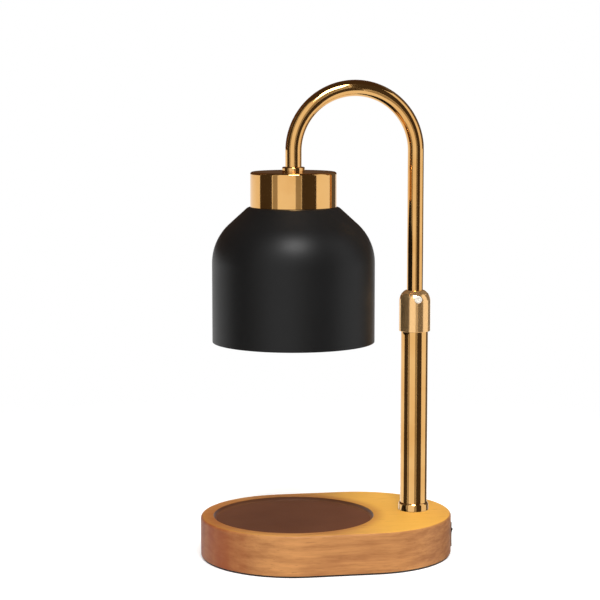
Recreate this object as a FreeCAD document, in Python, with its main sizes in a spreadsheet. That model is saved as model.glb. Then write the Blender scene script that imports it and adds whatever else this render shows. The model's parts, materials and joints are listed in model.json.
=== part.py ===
import FreeCAD, Part
import math
import os
import re
import Sketcher

"""Warmer lamp with a height-adjustable swing arm, as a parametric assembly.

The frame: +Z up, the floor at Z = 0, the axis of the shade and of the dish at X = Y = 0, the post
on +X and the front of the lamp towards -Y.  All sizes are in millimetres and come from the sheet.
"""

Vector = FreeCAD.Vector

document = FreeCAD.newDocument("WarmerLamp")
sheet = document.addObject("Spreadsheet::Sheet", "Sizes")

SIZES = {
    # base
    "base_end_radius": 57.75,
    "wood_height": 24.7,
    "wood_top_round": 1.8,
    "wood_bottom_chamfer": 0.6,
    "grip_height": 1.0,
    "grip_inset": 0.8,
    "grip_hole_radius": 4.5,
    "dish_rim": 8.05,
    "dish_depth": 3.0,
    "dish_cove": 1.6,
    "dish_lip_round": 0.6,
    "liner_height": 0.6,
    "liner_clearance": 0.3,
    # underside
    "cover_inset": 6.0,
    "cover_height": 2.0,
    "cover_clearance": 0.3,
    "deck_height": 10.0,
    "cavity_radius": 28.0,
    "cavity_start": 38.0,
    "cavity_post_gap": 14.7,
    "screw_spread": 33.0,
    "screw_near": -20.0,
    "screw_post_gap": 4.7,
    "wood_screw_radius": 1.5,
    "wood_screw_head": 3.0,
    "wood_screw_length": 10.0,
    "screw_sink": 1.5,
    "screw_clearance": 0.2,
    # cord inlet
    "inlet_along": 36.0,
    "inlet_level": 8.9,
    "inlet_radius": 4.3,
    "bushing_clearance": 0.05,
    "bushing_bore": 3.0,
    "bushing_flange": 5.6,
    "bushing_flange_height": 1.6,
    "bushing_length": 12.0,
    # post
    "arm_reach": 76.7,
    "post_end_gap": 22.55,
    "post_radius": 8.4,
    "post_wall": 1.2,
    "post_top": 150.0,
    "plug_height": 8.0,
    "stud_radius": 5.0,
    "stud_bore": 3.9,
    "stud_end": 6.2,
    "foot_ring_radius": 9.4,
    "foot_ring_height": 5.0,
    "edge_round": 0.6,
    "press_clearance": 0.02,
    "running_clearance": 0.05,
    "washer_radius": 9.5,
    "washer_height": 1.5,
    "nut_flats": 14.0,
    "nut_height": 6.0,
    # coupling
    "coupling_radius": 9.75,
    "coupling_overlap": 10.8,
    "coupling_rise": 14.7,
    "coupling_dome": 7.0,
    "coupling_mouth": 5.9,
    "coupling_web": 2.2,
    "friction_bush_radius": 7.0,
    "lock_screw_drop": 5.1,
    "lock_screw_radius": 2.4,
    "lock_screw_length": 2.5,
    "lock_screw_socket": 2.5,
    "lock_screw_socket_depth": 1.2,
    # gooseneck
    "tube_radius": 5.0,
    "tube_wall": 1.0,
    "tube_overlap": 40.0,
    "tube_inner_drop": 9.5,
    "arch_spring": 251.4,
    "guide_height": 12.0,
    "guide_foot": 2.5,
    "stop_pin_level": 6.0,
    "stop_pin_radius": 1.0,
    "stop_pin_proud": 1.5,
    "swing_angle": 90.0,
    "lead_radius": 1.2,
    "lead_offset": 1.9,
    "slack_rise": 20.0,
    # cap
    "cap_radius": 26.5,
    "cap_drop": 12.4,
    "cap_height": 21.6,
    "cap_wall": 1.0,
    "cap_round": 1.5,
    "collar_radius": 7.0,
    "collar_height": 3.0,
    # shade
    "shade_radius": 50.0,
    "shade_height": 83.0,
    "shade_neck": 27.9,
    "shade_wall": 0.9,
    "shade_slope": 42.3,
    "shade_bend": 32.1,
    "shade_hole": 15.5,
    # lamp holder
    "strap_height": 1.5,
    "strap_width": 16.0,
    "strap_half_span": 22.0,
    "strap_foot": 5.5,
    "star_washer_radius": 8.0,
    "star_washer_height": 0.8,
    "tube_nut_flats": 14.0,
    "tube_nut_height": 4.0,
    "holder_radius": 13.5,
    "holder_drop": 10.0,
    "holder_height": 16.0,
    "holder_screw_radius": 1.5,
    "holder_screw_head": 2.8,
    "holder_screw_offset": 10.6,
    "spacer_radius": 2.3,
    "shade_screw_inset": 3.2,
    # lamp
    "lamp_radius": 25.0,
    "lamp_reflector_height": 35.0,
    "lamp_glass": 3.0,
    "lamp_neck_radius": 12.0,
    "lamp_shoulder_radius": 14.0,
    "lamp_shoulder_height": 6.0,
    "lamp_rim_height": 5.0,
    "lamp_flare": 48.0,
    "lamp_neck_length": 18.0,
    "lamp_gap": 0.3,
    "lamp_wall": 1.6,
    "lamp_pin_radius": 1.25,
    "lamp_pin_head": 2.4,
    "lamp_pin_offset": 5.0,
    "lamp_pin_length": 7.0,
    "capsule_radius": 4.5,
    "capsule_length": 20.0,
    # switch
    "switch_level": 9.8,
    "switch_width": 10.4,
    "switch_height": 13.0,
    "switch_depth": 11.0,
    "switch_wall": 0.9,
    "switch_flange": 1.2,
    "switch_flange_height": 0.9,
    "switch_fit": 0.1,
    "rocker_gap": 0.2,
    "rocker_half_length": 4.4,
    "rocker_tilt": 12.0,
    "rocker_pivot_depth": 3.9,
    "rocker_face": 5.5,
    "rocker_dip": 0.6,
    "rocker_body": 2.2,
    "rocker_pin_radius": 0.9,
    "blade_width": 4.8,
    "blade_thickness": 0.8,
    "blade_length": 3.0,
    # wiring in the base
    "terminal_length": 16.0,
    "terminal_width": 12.0,
    "terminal_height": 7.0,
    "terminal_along": 30.0,
    "clamp_across": 14.0,
    "clamp_width": 20.0,
    "clamp_depth": 7.0,
    "clamp_thickness": 2.4,
    "clamp_screw_offset": 7.5,
    "clamp_screw_radius": 1.2,
    "clamp_screw_head": 2.4,
    "core_radius": 0.8,
    "core_spread": 3.0,
    "core_detour": 12.5,
    "lead_bend": 2.6,
}

PLACES = {
    "base_end": "arm_reach + post_end_gap",
    "base_centre_gap": "base_end - base_end_radius",
    "dish_radius": "base_end_radius - dish_rim",
    "cavity_end": "arm_reach - cavity_post_gap",
    "screw_far": "arm_reach - screw_post_gap",
    "coupling_bottom": "post_top - coupling_overlap",
    "coupling_top": "post_top + coupling_rise",
    "coupling_shoulder": "coupling_top - coupling_dome",
    "lock_screw_level": "coupling_top - lock_screw_drop",
    "tube_end": "post_top - tube_overlap",
    "slack_top": "post_top + slack_rise",
    "cap_top": "arch_spring - cap_drop",
    "cap_bottom": "cap_top - cap_height",
    "tube_inner_end": "cap_top - tube_inner_drop",
    "shade_bottom": "cap_bottom - shade_height",
    "shade_screw_offset": "strap_half_span - shade_screw_inset",
    "holder_top": "cap_top - holder_drop",
    "holder_bottom": "holder_top - holder_height",
    "lamp_neck_bottom": "holder_bottom - lamp_neck_length",
    "lamp_face": "lamp_neck_bottom - lamp_reflector_height",
}
ALIASES = {**SIZES, **PLACES}

for row, (alias, size) in enumerate(ALIASES.items(), start=1):
    sheet.set(f"A{row}", alias)
    sheet.set(f"B{row}", f"={size}" if alias in PLACES else str(size))
    sheet.setAlias(f"B{row}", alias)
document.recompute()

WORD = re.compile(r"[a-z][a-z0-9_]*")


def bound(expression):
    """Return the expression with every size of the sheet named by its full path."""
    return WORD.sub(lambda m: f"Sizes.{m.group(0)}" if m.group(0) in ALIASES else m.group(0), expression)


def value(expression):
    """Return the value that an expression of sheet sizes has now."""
    return float(sheet.evalExpression(expression))


def bind(item, **properties):
    """Tie properties of an object to expressions; a double underscore stands for a dot."""
    for name, expression in properties.items():
        item.setExpression(name.replace("__", "."), bound(expression))


def place(item, along="0", across="0", up="0"):
    """Tie the place of an object to expressions."""
    bind(item, Placement__Base__x=along, Placement__Base__y=across, Placement__Base__z=up)


def new_body(label, **where):
    """Make a Part Design body that stands at the given place."""
    body = document.addObject("PartDesign::Body", label)
    body.Label = label
    place(body, **where)
    return body


def new_sketch(body, name, plane, offset="0"):
    """Attach a sketch to one of the body's own origin planes, moved along its normal."""
    sketch = body.newObject("Sketcher::SketchObject", f"{body.Name}_{name}")
    support = [item for item in body.Origin.OriginFeatures if item.Role == plane][0]
    sketch.AttachmentSupport = [(support, "")]
    sketch.MapMode = "FlatFace"
    bind(sketch, AttachmentOffset__Base__z=offset)
    return sketch


def pin_coordinate(sketch, piece, end, kind, axis, expression):
    """Hold one coordinate of a sketch point at the distance that an expression gives."""
    size = value(expression)
    if abs(size) < 1e-9:
        sketch.addConstraint(Sketcher.Constraint("PointOnObject", piece, end, axis))
        return
    held = sketch.addConstraint(Sketcher.Constraint(kind, -1, 1, piece, end, size))
    sketch.setExpression(f"Constraints[{held}]", bound(expression))


def pin_across(sketch, piece, end, across):
    """Hold a sketch point at a distance across."""
    pin_coordinate(sketch, piece, end, "DistanceX", -2, across)


def pin_point(sketch, piece, end, across, up):
    """Hold a sketch point at the place that two expressions give."""
    pin_across(sketch, piece, end, across)
    pin_coordinate(sketch, piece, end, "DistanceY", -1, up)


def draw_outline(sketch, corners):
    """Draw a closed outline.

    A corner is (across, up) for a straight side to the next corner, or (across, up, radius) for an
    arc to it: a radius expression that starts with a minus sign bends to the right of the way on.
    """
    points = [Vector(value(corner[0]), value(corner[1]), 0) for corner in corners]
    pieces = []
    for index, corner in enumerate(corners):
        start = points[index]
        end = points[(index + 1) % len(points)]
        if len(corner) == 2:
            piece = sketch.addGeometry(Part.LineSegment(start, end))
            pieces.append((piece, 1, 2))
            pin_point(sketch, piece, 1, corner[0], corner[1])
            continue
        turns_right = corner[2].startswith("-")
        radius = corner[2].lstrip("-")
        chord = end - start
        half = chord.Length / 2
        rise = math.sqrt(max(value(radius) ** 2 - half ** 2, 0.0))
        side = Vector(-chord.y, chord.x, 0).normalize()
        centre = (start + end) / 2 + side * (-rise if turns_right else rise)
        circle = Part.Circle(centre, Vector(0, 0, 1), value(radius))
        first, last = (end, start) if turns_right else (start, end)
        opening = circle.parameter(first)
        closing = circle.parameter(last)
        if closing < opening:
            closing += 2 * math.pi
        piece = sketch.addGeometry(Part.ArcOfCircle(circle, opening, closing))
        ends = (piece, 2, 1) if turns_right else (piece, 1, 2)
        pieces.append(ends)
        pin_point(sketch, piece, ends[1], corner[0], corner[1])
        if rise < 1e-6:
            pin_across(sketch, piece, 3, corner[0])
            continue
        held = sketch.addConstraint(Sketcher.Constraint("Radius", piece, value(radius)))
        sketch.setExpression(f"Constraints[{held}]", bound(radius))
    for index, (piece, _, end) in enumerate(pieces):
        follower, start, _ = pieces[(index + 1) % len(pieces)]
        sketch.addConstraint(Sketcher.Constraint("Coincident", piece, end, follower, start))


def draw_route(sketch, corners):
    """Draw an open route; a corner with a radius starts a half turn to the left."""
    points = [Vector(value(corner[0]), value(corner[1]), 0) for corner in corners]
    joint = None
    for index, corner in enumerate(corners[:-1]):
        start = points[index]
        end = points[index + 1]
        if len(corner) == 2:
            piece = sketch.addGeometry(Part.LineSegment(start, end))
        else:
            circle = Part.Circle((start + end) / 2, Vector(0, 0, 1), value(corner[2]))
            piece = sketch.addGeometry(Part.ArcOfCircle(circle, 0, math.pi))
        pin_point(sketch, piece, 1, corner[0], corner[1])
        if joint is not None:
            sketch.addConstraint(Sketcher.Constraint("Coincident", joint, 2, piece, 1))
        if len(corner) == 3:
            pin_coordinate(sketch, piece, 3, "DistanceY", -1, corner[1])
        joint = piece
    pin_point(sketch, joint, 2, corners[-1][0], corners[-1][1])


def draw_circle(sketch, radius, across="0", up="0"):
    """Draw a full circle round a point that two expressions give."""
    centre = Vector(value(across), value(up), 0)
    piece = sketch.addGeometry(Part.Circle(centre, Vector(0, 0, 1), value(radius)))
    held = sketch.addConstraint(Sketcher.Constraint("Radius", piece, value(radius)))
    sketch.setExpression(f"Constraints[{held}]", bound(radius))
    pin_point(sketch, piece, 3, across, up)


def draw_stadium(sketch, radius):
    """Draw the base's outline: two half circles joined by straight sides."""
    draw_outline(sketch, [
        ("0", f"-({radius})"),
        ("base_centre_gap", f"-({radius})", radius),
        ("base_centre_gap", radius),
        ("0", radius, radius),
    ])


def draw_rectangle(sketch, half_across, bottom, top):
    """Draw a rectangle that is centred across."""
    draw_outline(sketch, [
        (f"-({half_across})", bottom),
        (half_across, bottom),
        (half_across, top),
        (f"-({half_across})", top),
    ])


def add_feature(body, kind, name, sketch, length, reverse=False):
    """Add a pad or a pocket of the given length and check that it changed the solid."""
    before = body.Tip.Shape.Volume if body.Tip else 0.0
    feature = body.newObject(f"PartDesign::{kind}", f"{body.Name}_{name}")
    feature.Profile = sketch
    feature.Reversed = reverse
    bind(feature, Length=length)
    document.recompute()
    if abs(feature.Shape.Volume - before) < 1e-3:
        raise RuntimeError(f"{feature.Name} changed nothing")
    return feature


def spin_body(label, corners, **where):
    """Make a body by turning an outline (radius, height) round its own upright axis."""
    body = new_body(label, **where)
    sketch = new_sketch(body, "profile", "XZ_Plane")
    draw_outline(sketch, corners)
    feature = body.newObject("PartDesign::Revolution", f"{label}_spin")
    feature.Profile = sketch
    feature.ReferenceAxis = (sketch, ["V_Axis"])
    feature.Angle = 360
    document.recompute()
    return body


def ring_corners(inner, outer, bottom, top):
    """Return the outline of a plain ring."""
    return [(inner, bottom), (outer, bottom), (outer, top), (inner, top)]


def matching_edges(feature, test):
    """Name the edges of a feature that a test accepts."""
    return [f"Edge{index}" for index, edge in enumerate(feature.Shape.Edges, start=1) if test(edge)]


def dress_edges(body, kind, name, test, size):
    """Round or chamfer the edges of the body's last feature that a test accepts."""
    base = body.Tip
    edges = matching_edges(base, test)
    if not edges:
        raise RuntimeError(f"{body.Name}: no edge for {name}")
    feature = body.newObject(f"PartDesign::{kind}", f"{body.Name}_{name}")
    feature.Base = (base, edges)
    bind(feature, **({"Radius": size} if kind == "Fillet" else {"Size": size}))
    document.recompute()
    return feature


def is_level(edge, height):
    """Tell whether an edge lies flat at a height."""
    box = edge.BoundBox
    return abs(box.ZMin - height) < 1e-3 and abs(box.ZMax - height) < 1e-3


def is_circle(edge, radius, height):
    """Tell whether an edge is a full level circle of a radius."""
    round_edge = hasattr(edge.Curve, "Radius") and abs(edge.Curve.Radius - radius) < 1e-3
    return round_edge and is_level(edge, height)


def shape_node(label, solids):
    """Make a node out of solids that Part's own functions built from sheet sizes."""
    node = document.addObject("Part::Feature", label)
    node.Label = label
    node.Shape = solids[0] if len(solids) == 1 else Part.makeCompound(solids)
    return node


def rod(radius, length, start, direction=Vector(0, 0, 1)):
    """Return a round rod."""
    return Part.makeCylinder(radius, length, start, direction)


def bent_lead(points, radius):
    """Return a round lead that runs straight from point to point with a ball at each bend."""
    runs = [rod(radius, (end - start).Length, start, end - start)
            for start, end in zip(points, points[1:])]
    bends = [Part.makeSphere(radius, point) for point in points[1:-1]]
    return runs[0].multiFuse(runs[1:] + bends)


def hexagon(flats, height, centre, bore):
    """Return a hexagon nut with a plain bore."""
    corner = flats / math.sqrt(3)
    turns = [math.radians(60 * step + 30) for step in range(7)]
    points = [centre + Vector(corner * math.cos(turn), corner * math.sin(turn), 0) for turn in turns]
    prism = Part.Face(Part.makePolygon(points)).extrude(Vector(0, 0, height))
    crown = Part.makeCone(corner + height * 0.4, corner * 0.93, height, centre)
    return prism.common(crown).cut(rod(bore, height, centre))


def cross_screw(radius, head, length, head_height, start, direction, sunk=False):
    """Return a screw with its head at the start and a cross recess in the head."""
    far = start + direction * head_height
    shank = rod(radius, length, far, direction)
    if sunk:
        top = Part.makeCone(head, radius, head_height, start, direction)
    else:
        top = rod(head, head_height, start, direction)
    screw = top.fuse(shank)
    turn = FreeCAD.Rotation(Vector(0, 0, 1), direction)
    for quarter in (0, 90):
        slot = Part.makeBox(head * 1.1, head * 0.22, head_height * 0.55)
        slot.translate(Vector(-head * 0.55, -head * 0.11, 0))
        slot.rotate(Vector(0, 0, 0), Vector(0, 0, 1), quarter)
        slot.Placement = FreeCAD.Placement(start, turn).multiply(slot.Placement)
        screw = screw.cut(slot)
    return screw


WOOD_BOTTOM = "grip_height"
WOOD_TOP = "grip_height + wood_height"
DECK_BOTTOM = f"{WOOD_TOP} - deck_height"
COVER_RADIUS = "base_end_radius - cover_inset"
POST_BORE = "post_radius - post_wall"
COVER_SCREWS = [(along, across) for along in ("screw_near", "screw_far")
                for across in ("screw_spread", "-screw_spread")]


def make_base():
    """The turned and milled wooden base with its dish, cavity and holes."""
    body = new_body("base_body")
    sketch = new_sketch(body, "outline", "XY_Plane", WOOD_BOTTOM)
    draw_stadium(sketch, "base_end_radius")
    add_feature(body, "Pad", "block", sketch, "wood_height")

    sketch = new_sketch(body, "dish_outline", "XY_Plane", WOOD_TOP)
    draw_circle(sketch, "dish_radius")
    add_feature(body, "Pocket", "dish", sketch, "dish_depth")

    sketch = new_sketch(body, "cover_outline", "XY_Plane", WOOD_BOTTOM)
    draw_stadium(sketch, COVER_RADIUS)
    add_feature(body, "Pocket", "cover_seat", sketch, "cover_height", reverse=True)

    sketch = new_sketch(body, "cavity_outline", "XY_Plane", WOOD_BOTTOM)
    draw_outline(sketch, [
        ("cavity_start", "-cavity_radius"),
        ("cavity_end", "-cavity_radius", "cavity_radius"),
        ("cavity_end", "cavity_radius"),
        ("cavity_start", "cavity_radius", "cavity_radius"),
    ])
    add_feature(body, "Pocket", "cavity", sketch, "wood_height - deck_height", reverse=True)

    sketch = new_sketch(body, "stud_hole_outline", "XY_Plane", WOOD_TOP)
    draw_circle(sketch, "stud_radius + running_clearance", "arm_reach")
    add_feature(body, "Pocket", "stud_hole", sketch, "deck_height")

    sketch = new_sketch(body, "switch_outline", "YZ_Plane", "base_end")
    draw_rectangle(sketch, "switch_width / 2 + switch_fit",
                   "switch_level - switch_height / 2 - switch_fit",
                   "switch_level + switch_height / 2 + switch_fit")
    add_feature(body, "Pocket", "switch_slot", sketch, "switch_depth")

    sketch = new_sketch(body, "inlet_outline", "XZ_Plane")
    draw_circle(sketch, "inlet_radius", "inlet_along", "inlet_level")
    add_feature(body, "Pocket", "inlet", sketch, "base_end_radius")

    sketch = new_sketch(body, "pilot_outline", "XY_Plane", WOOD_BOTTOM)
    for along, across in COVER_SCREWS:
        draw_circle(sketch, "wood_screw_radius", along, across)
    add_feature(body, "Pocket", "pilot_holes", sketch, "wood_screw_length + cover_height", reverse=True)

    top = value(WOOD_TOP)
    half_width = value("base_end_radius")

    def on_rim(edge, height):
        box = edge.BoundBox
        return is_level(edge, height) and max(abs(box.YMin), abs(box.YMax)) > half_width - 0.01

    dress_edges(body, "Fillet", "cove", lambda edge: is_circle(
        edge, value("dish_radius"), value(f"{WOOD_TOP} - dish_depth")), "dish_cove")
    dress_edges(body, "Fillet", "dish_lip", lambda edge: is_circle(
        edge, value("dish_radius"), top), "dish_lip_round")
    dress_edges(body, "Fillet", "top_round", lambda edge: on_rim(edge, top), "wood_top_round")
    dress_edges(body, "Chamfer", "bottom_edge", lambda edge: on_rim(edge, value(WOOD_BOTTOM)),
                "wood_bottom_chamfer")
    return body


def make_dish_liner():
    """The thin dark disc that lines the dish."""
    liner = document.addObject("Part::Cylinder", "dish_liner")
    bind(liner, Radius="dish_radius - dish_cove - liner_clearance", Height="liner_height")
    place(liner, up=f"{WOOD_TOP} - dish_depth")


def make_bottom_cover():
    """The let-in cover plate under the base."""
    body = new_body("bottom_cover")
    sketch = new_sketch(body, "outline", "XY_Plane", WOOD_BOTTOM)
    draw_stadium(sketch, f"{COVER_RADIUS} - cover_clearance")
    for along, across in COVER_SCREWS:
        draw_circle(sketch, "wood_screw_radius + screw_clearance", along, across)
    add_feature(body, "Pad", "plate", sketch, "cover_height")
    hole = value("wood_screw_radius + screw_clearance")
    dress_edges(body, "Chamfer", "sinks", lambda edge: is_circle(edge, hole, value(WOOD_BOTTOM)),
                "screw_sink")


def make_grip_pad():
    """The rubber pad under the base, which stands on the floor, with holes at the cover screws."""
    body = new_body("grip_pad")
    sketch = new_sketch(body, "outline", "XY_Plane")
    draw_stadium(sketch, "base_end_radius - grip_inset")
    for along, across in COVER_SCREWS:
        draw_circle(sketch, "grip_hole_radius", along, across)
    add_feature(body, "Pad", "sheet", sketch, "grip_height")


def make_cover_screws():
    """The four sunk wood screws of the bottom cover."""
    screws = []
    for along, across in COVER_SCREWS:
        start = Vector(value(along), value(across), value(WOOD_BOTTOM))
        screws.append(cross_screw(value("wood_screw_radius"), value("wood_screw_head"),
                                  value("wood_screw_length"), value("screw_sink"),
                                  start, Vector(0, 0, 1), sunk=True))
    shape_node("cover_screws", screws)


def make_cord_bushing():
    """The rubber bushing in the back of the base, for a lead of 6 mm."""
    body = new_body("cord_bushing")
    sketch = new_sketch(body, "shank_outline", "XZ_Plane", "-base_end_radius")
    draw_circle(sketch, "inlet_radius - bushing_clearance", "inlet_along", "inlet_level")
    add_feature(body, "Pad", "shank", sketch, "bushing_length")
    sketch = new_sketch(body, "flange_outline", "XZ_Plane", "-base_end_radius")
    draw_circle(sketch, "bushing_flange", "inlet_along", "inlet_level")
    add_feature(body, "Pad", "flange", sketch, "bushing_flange_height", reverse=True)
    sketch = new_sketch(body, "bore_outline", "XZ_Plane", "-base_end_radius - bushing_flange_height")
    draw_circle(sketch, "bushing_bore", "inlet_along", "inlet_level")
    add_feature(body, "Pocket", "bore", sketch, "bushing_length + bushing_flange_height", reverse=True)
    outer = value("base_end_radius + bushing_flange_height")

    def on_flange(edge):
        box = edge.BoundBox
        return abs(box.YMin - outer) < 1e-3 and abs(box.YMax - outer) < 1e-3

    dress_edges(body, "Fillet", "rounding", on_flange, "edge_round")


def make_post():
    """The post tube and the turned plug pressed into its foot."""
    spin_body("post", ring_corners(POST_BORE, "post_radius", WOOD_TOP, "post_top"), along="arm_reach")
    plug = f"{POST_BORE} - press_clearance"
    spin_body("post_plug", [
        ("stud_bore", "stud_end"),
        ("stud_radius", "stud_end"),
        ("stud_radius", WOOD_TOP),
        (plug, WOOD_TOP),
        (plug, f"{WOOD_TOP} + plug_height"),
        ("stud_bore", f"{WOOD_TOP} + plug_height"),
    ], along="arm_reach")
    body = spin_body("foot_ring", ring_corners("post_radius + running_clearance", "foot_ring_radius",
                                               WOOD_TOP, f"{WOOD_TOP} + foot_ring_height"),
                     along="arm_reach")
    rim = value("foot_ring_radius")
    dress_edges(body, "Fillet", "rounding", lambda edge: is_circle(
        edge, rim, value(f"{WOOD_TOP} + foot_ring_height")), "edge_round")


def make_post_fasteners():
    """The washer and the nut that hold the post from inside the cavity."""
    deck = value(DECK_BOTTOM)
    bore = value("stud_radius + running_clearance")
    centre = Vector(value("arm_reach"), 0, deck - value("washer_height"))
    washer = rod(value("washer_radius"), value("washer_height"), centre)
    shape_node("post_washer", [washer.cut(rod(bore, value("washer_height"), centre))])
    below = centre - Vector(0, 0, value("nut_height"))
    shape_node("post_nut", [hexagon(value("nut_flats"), value("nut_height"), below, bore)])


def make_coupling():
    """The domed sleeve on the post, its nylon friction bush and the lock screw."""
    mouth = "tube_radius + running_clearance * 4"
    bush_seat = "friction_bush_radius + running_clearance"
    body = spin_body("coupling", [
        ("post_radius + running_clearance", "coupling_bottom"),
        ("coupling_radius", "coupling_bottom"),
        ("coupling_radius", "coupling_shoulder", "coupling_radius - 2"),
        ("coupling_mouth", "coupling_top"),
        (mouth, "coupling_top"),
        (mouth, "coupling_top - coupling_web"),
        (bush_seat, "coupling_top - coupling_web"),
        (bush_seat, "post_top"),
        ("post_radius + running_clearance", "post_top"),
    ], along="arm_reach")
    sketch = new_sketch(body, "lock_outline", "XZ_Plane")
    draw_circle(sketch, "lock_screw_radius + running_clearance", "0", "lock_screw_level")
    add_feature(body, "Pocket", "lock_hole", sketch, "coupling_radius * 1.1", reverse=True)

    spin_body("friction_bush", ring_corners("tube_radius + running_clearance / 2", "friction_bush_radius",
                                            "post_top", "coupling_top - coupling_web"),
              along="arm_reach")


def make_lock_screw():
    """The bright socket screw in the front of the coupling."""
    radius = value("lock_screw_radius")
    length = value("lock_screw_length")
    inner = value("friction_bush_radius + running_clearance * 2")
    start = Vector(value("arm_reach"), -inner, value("lock_screw_level"))
    forward = Vector(0, -1, 0)
    screw = rod(radius, length, start, forward)
    rim = [edge for edge in screw.Edges if edge.BoundBox.YMax < -inner - length + 1e-3]
    screw = screw.makeFillet(radius * 0.15, rim)
    depth = value("lock_screw_socket_depth")
    key = hexagon(value("lock_screw_socket"), depth, Vector(0, 0, 0), radius * 0.01)
    key = key.fuse(rod(radius * 0.02, depth, Vector(0, 0, 0)))
    key.rotate(Vector(0, 0, 0), Vector(1, 0, 0), 90)
    key.translate(start + forward * (length - depth))
    shape_node("lock_screw", [screw.cut(key)])


def make_guide_bush():
    """The bush at the foot of the gooseneck, which slides in the post and bounds the swing."""
    axis = Vector(value("arm_reach"), 0, 0)
    foot = value("tube_end - guide_foot")
    inner = value("tube_radius + running_clearance")
    outer = value(f"{POST_BORE} - running_clearance")
    height = value("guide_height")
    bush = rod(outer, height, axis + Vector(0, 0, foot))
    bush = bush.cut(rod(value("tube_radius - tube_wall"), height, axis + Vector(0, 0, foot)))
    bush = bush.cut(rod(inner, height, axis + Vector(0, 0, value("tube_end - running_clearance"))))
    half_slot = value("stop_pin_radius + running_clearance")
    sweep = value("swing_angle") + math.degrees(math.asin(half_slot / inner))
    level = value("tube_end - guide_foot + stop_pin_level") - half_slot
    slot = Part.makeCylinder(outer + 1, 2 * half_slot, Vector(0, 0, level), Vector(0, 0, 1), 2 * sweep)
    slot.rotate(Vector(0, 0, 0), Vector(0, 0, 1), -sweep)
    slot.translate(axis)
    shape_node("guide_bush", [bush.cut(slot)])


def make_gooseneck():
    """The bent tube, its stop pin and the lead inside it."""
    body = new_body("gooseneck")
    path = new_sketch(body, "path", "XZ_Plane")
    draw_route(path, [
        ("arm_reach", "tube_end"),
        ("arm_reach", "arch_spring", "arm_reach / 2"),
        ("0", "arch_spring"),
        ("0", "tube_inner_end"),
    ])
    ring = new_sketch(body, "ring", "XY_Plane", "tube_end")
    draw_circle(ring, "tube_radius", "arm_reach")
    draw_circle(ring, "tube_radius - tube_wall", "arm_reach")
    pipe = body.newObject("PartDesign::AdditivePipe", "gooseneck_pipe")
    pipe.Profile = ring
    pipe.Spine = path
    document.recompute()
    hole = new_sketch(body, "pin_outline", "YZ_Plane", "arm_reach")
    draw_circle(hole, "stop_pin_radius", "0", "tube_end - guide_foot + stop_pin_level")
    add_feature(body, "Pocket", "pin_hole", hole, "tube_radius + 1", reverse=True)

    start = Vector(value("arm_reach + tube_radius - tube_wall"), 0,
                   value("tube_end - guide_foot + stop_pin_level"))
    shape_node("stop_pin", [rod(value("stop_pin_radius"), value("tube_wall + stop_pin_proud"),
                                start, Vector(1, 0, 0))])

    reach = value("arm_reach")
    offset = value("lead_offset")
    spring = value("arch_spring")
    outer = reach + offset
    low = Vector(outer, 0, value("tube_end + 1"))
    crown = Vector(reach / 2, 0, spring + reach / 2 + offset)
    route = Part.Wire([
        Part.LineSegment(low, Vector(outer, 0, spring)).toShape(),
        Part.Arc(Vector(outer, 0, spring), crown, Vector(-offset, 0, spring)).toShape(),
        Part.LineSegment(Vector(-offset, 0, spring), Vector(-offset, 0, value("holder_top"))).toShape(),
    ])
    profile = Part.Wire(Part.makeCircle(value("lead_radius"), low))
    shape_node("arm_lead", [route.makePipeShell([profile], True, True)])


def make_cap():
    """The brass drum and the collar above it."""
    hole = "tube_radius + running_clearance"
    spin_body("cap", [
        ("cap_radius - cap_wall", "cap_bottom"),
        ("cap_radius", "cap_bottom"),
        ("cap_radius", "cap_top - cap_round", "cap_round"),
        ("cap_radius - cap_round", "cap_top"),
        (hole, "cap_top"),
        (hole, "cap_top - cap_wall"),
        ("cap_radius - cap_wall", "cap_top - cap_wall"),
    ])
    body = spin_body("collar", ring_corners(hole, "collar_radius", "cap_top", "cap_top + collar_height"))
    rim = value("collar_radius")
    dress_edges(body, "Fillet", "rounding", lambda edge: is_circle(
        edge, rim, value("cap_top + collar_height")), "edge_round")


def make_shade():
    """The spun bell shade: a straight wall, a round shoulder, a sloped top and a flat neck."""
    middle = "shade_radius - shade_bend"
    slope = math.radians(value("shade_slope"))
    sine, cosine, slant = (f"{part(slope):.6f}" for part in (math.sin, math.cos, math.tan))
    outer = f"{middle} + shade_bend * {sine}"
    level = f"cap_bottom - ({outer} - shade_neck) * {slant} - shade_bend * {cosine}"
    inner = f"{middle} + (shade_bend - shade_wall) * {sine}"
    inner_up = f"{level} + (shade_bend - shade_wall) * {cosine}"
    neck_bottom = "cap_bottom - shade_wall"
    body = spin_body("shade", [
        ("shade_radius - shade_wall", "shade_bottom"),
        ("shade_radius", "shade_bottom"),
        ("shade_radius", level, "shade_bend"),
        (outer, f"{level} + shade_bend * {cosine}"),
        ("shade_neck", "cap_bottom"),
        ("shade_hole", "cap_bottom"),
        ("shade_hole", neck_bottom),
        (f"{inner} - ({neck_bottom} - ({inner_up})) / {slant}", neck_bottom),
        (inner, inner_up, "-(shade_bend - shade_wall)"),
        ("shade_radius - shade_wall", level),
    ])
    sketch = new_sketch(body, "hole_outline", "XY_Plane", "cap_bottom")
    for side in ("", "-"):
        draw_circle(sketch, "holder_screw_radius + screw_clearance", f"{side}shade_screw_offset")
    add_feature(body, "Pocket", "screw_holes", sketch, "shade_wall * 2")


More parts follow.
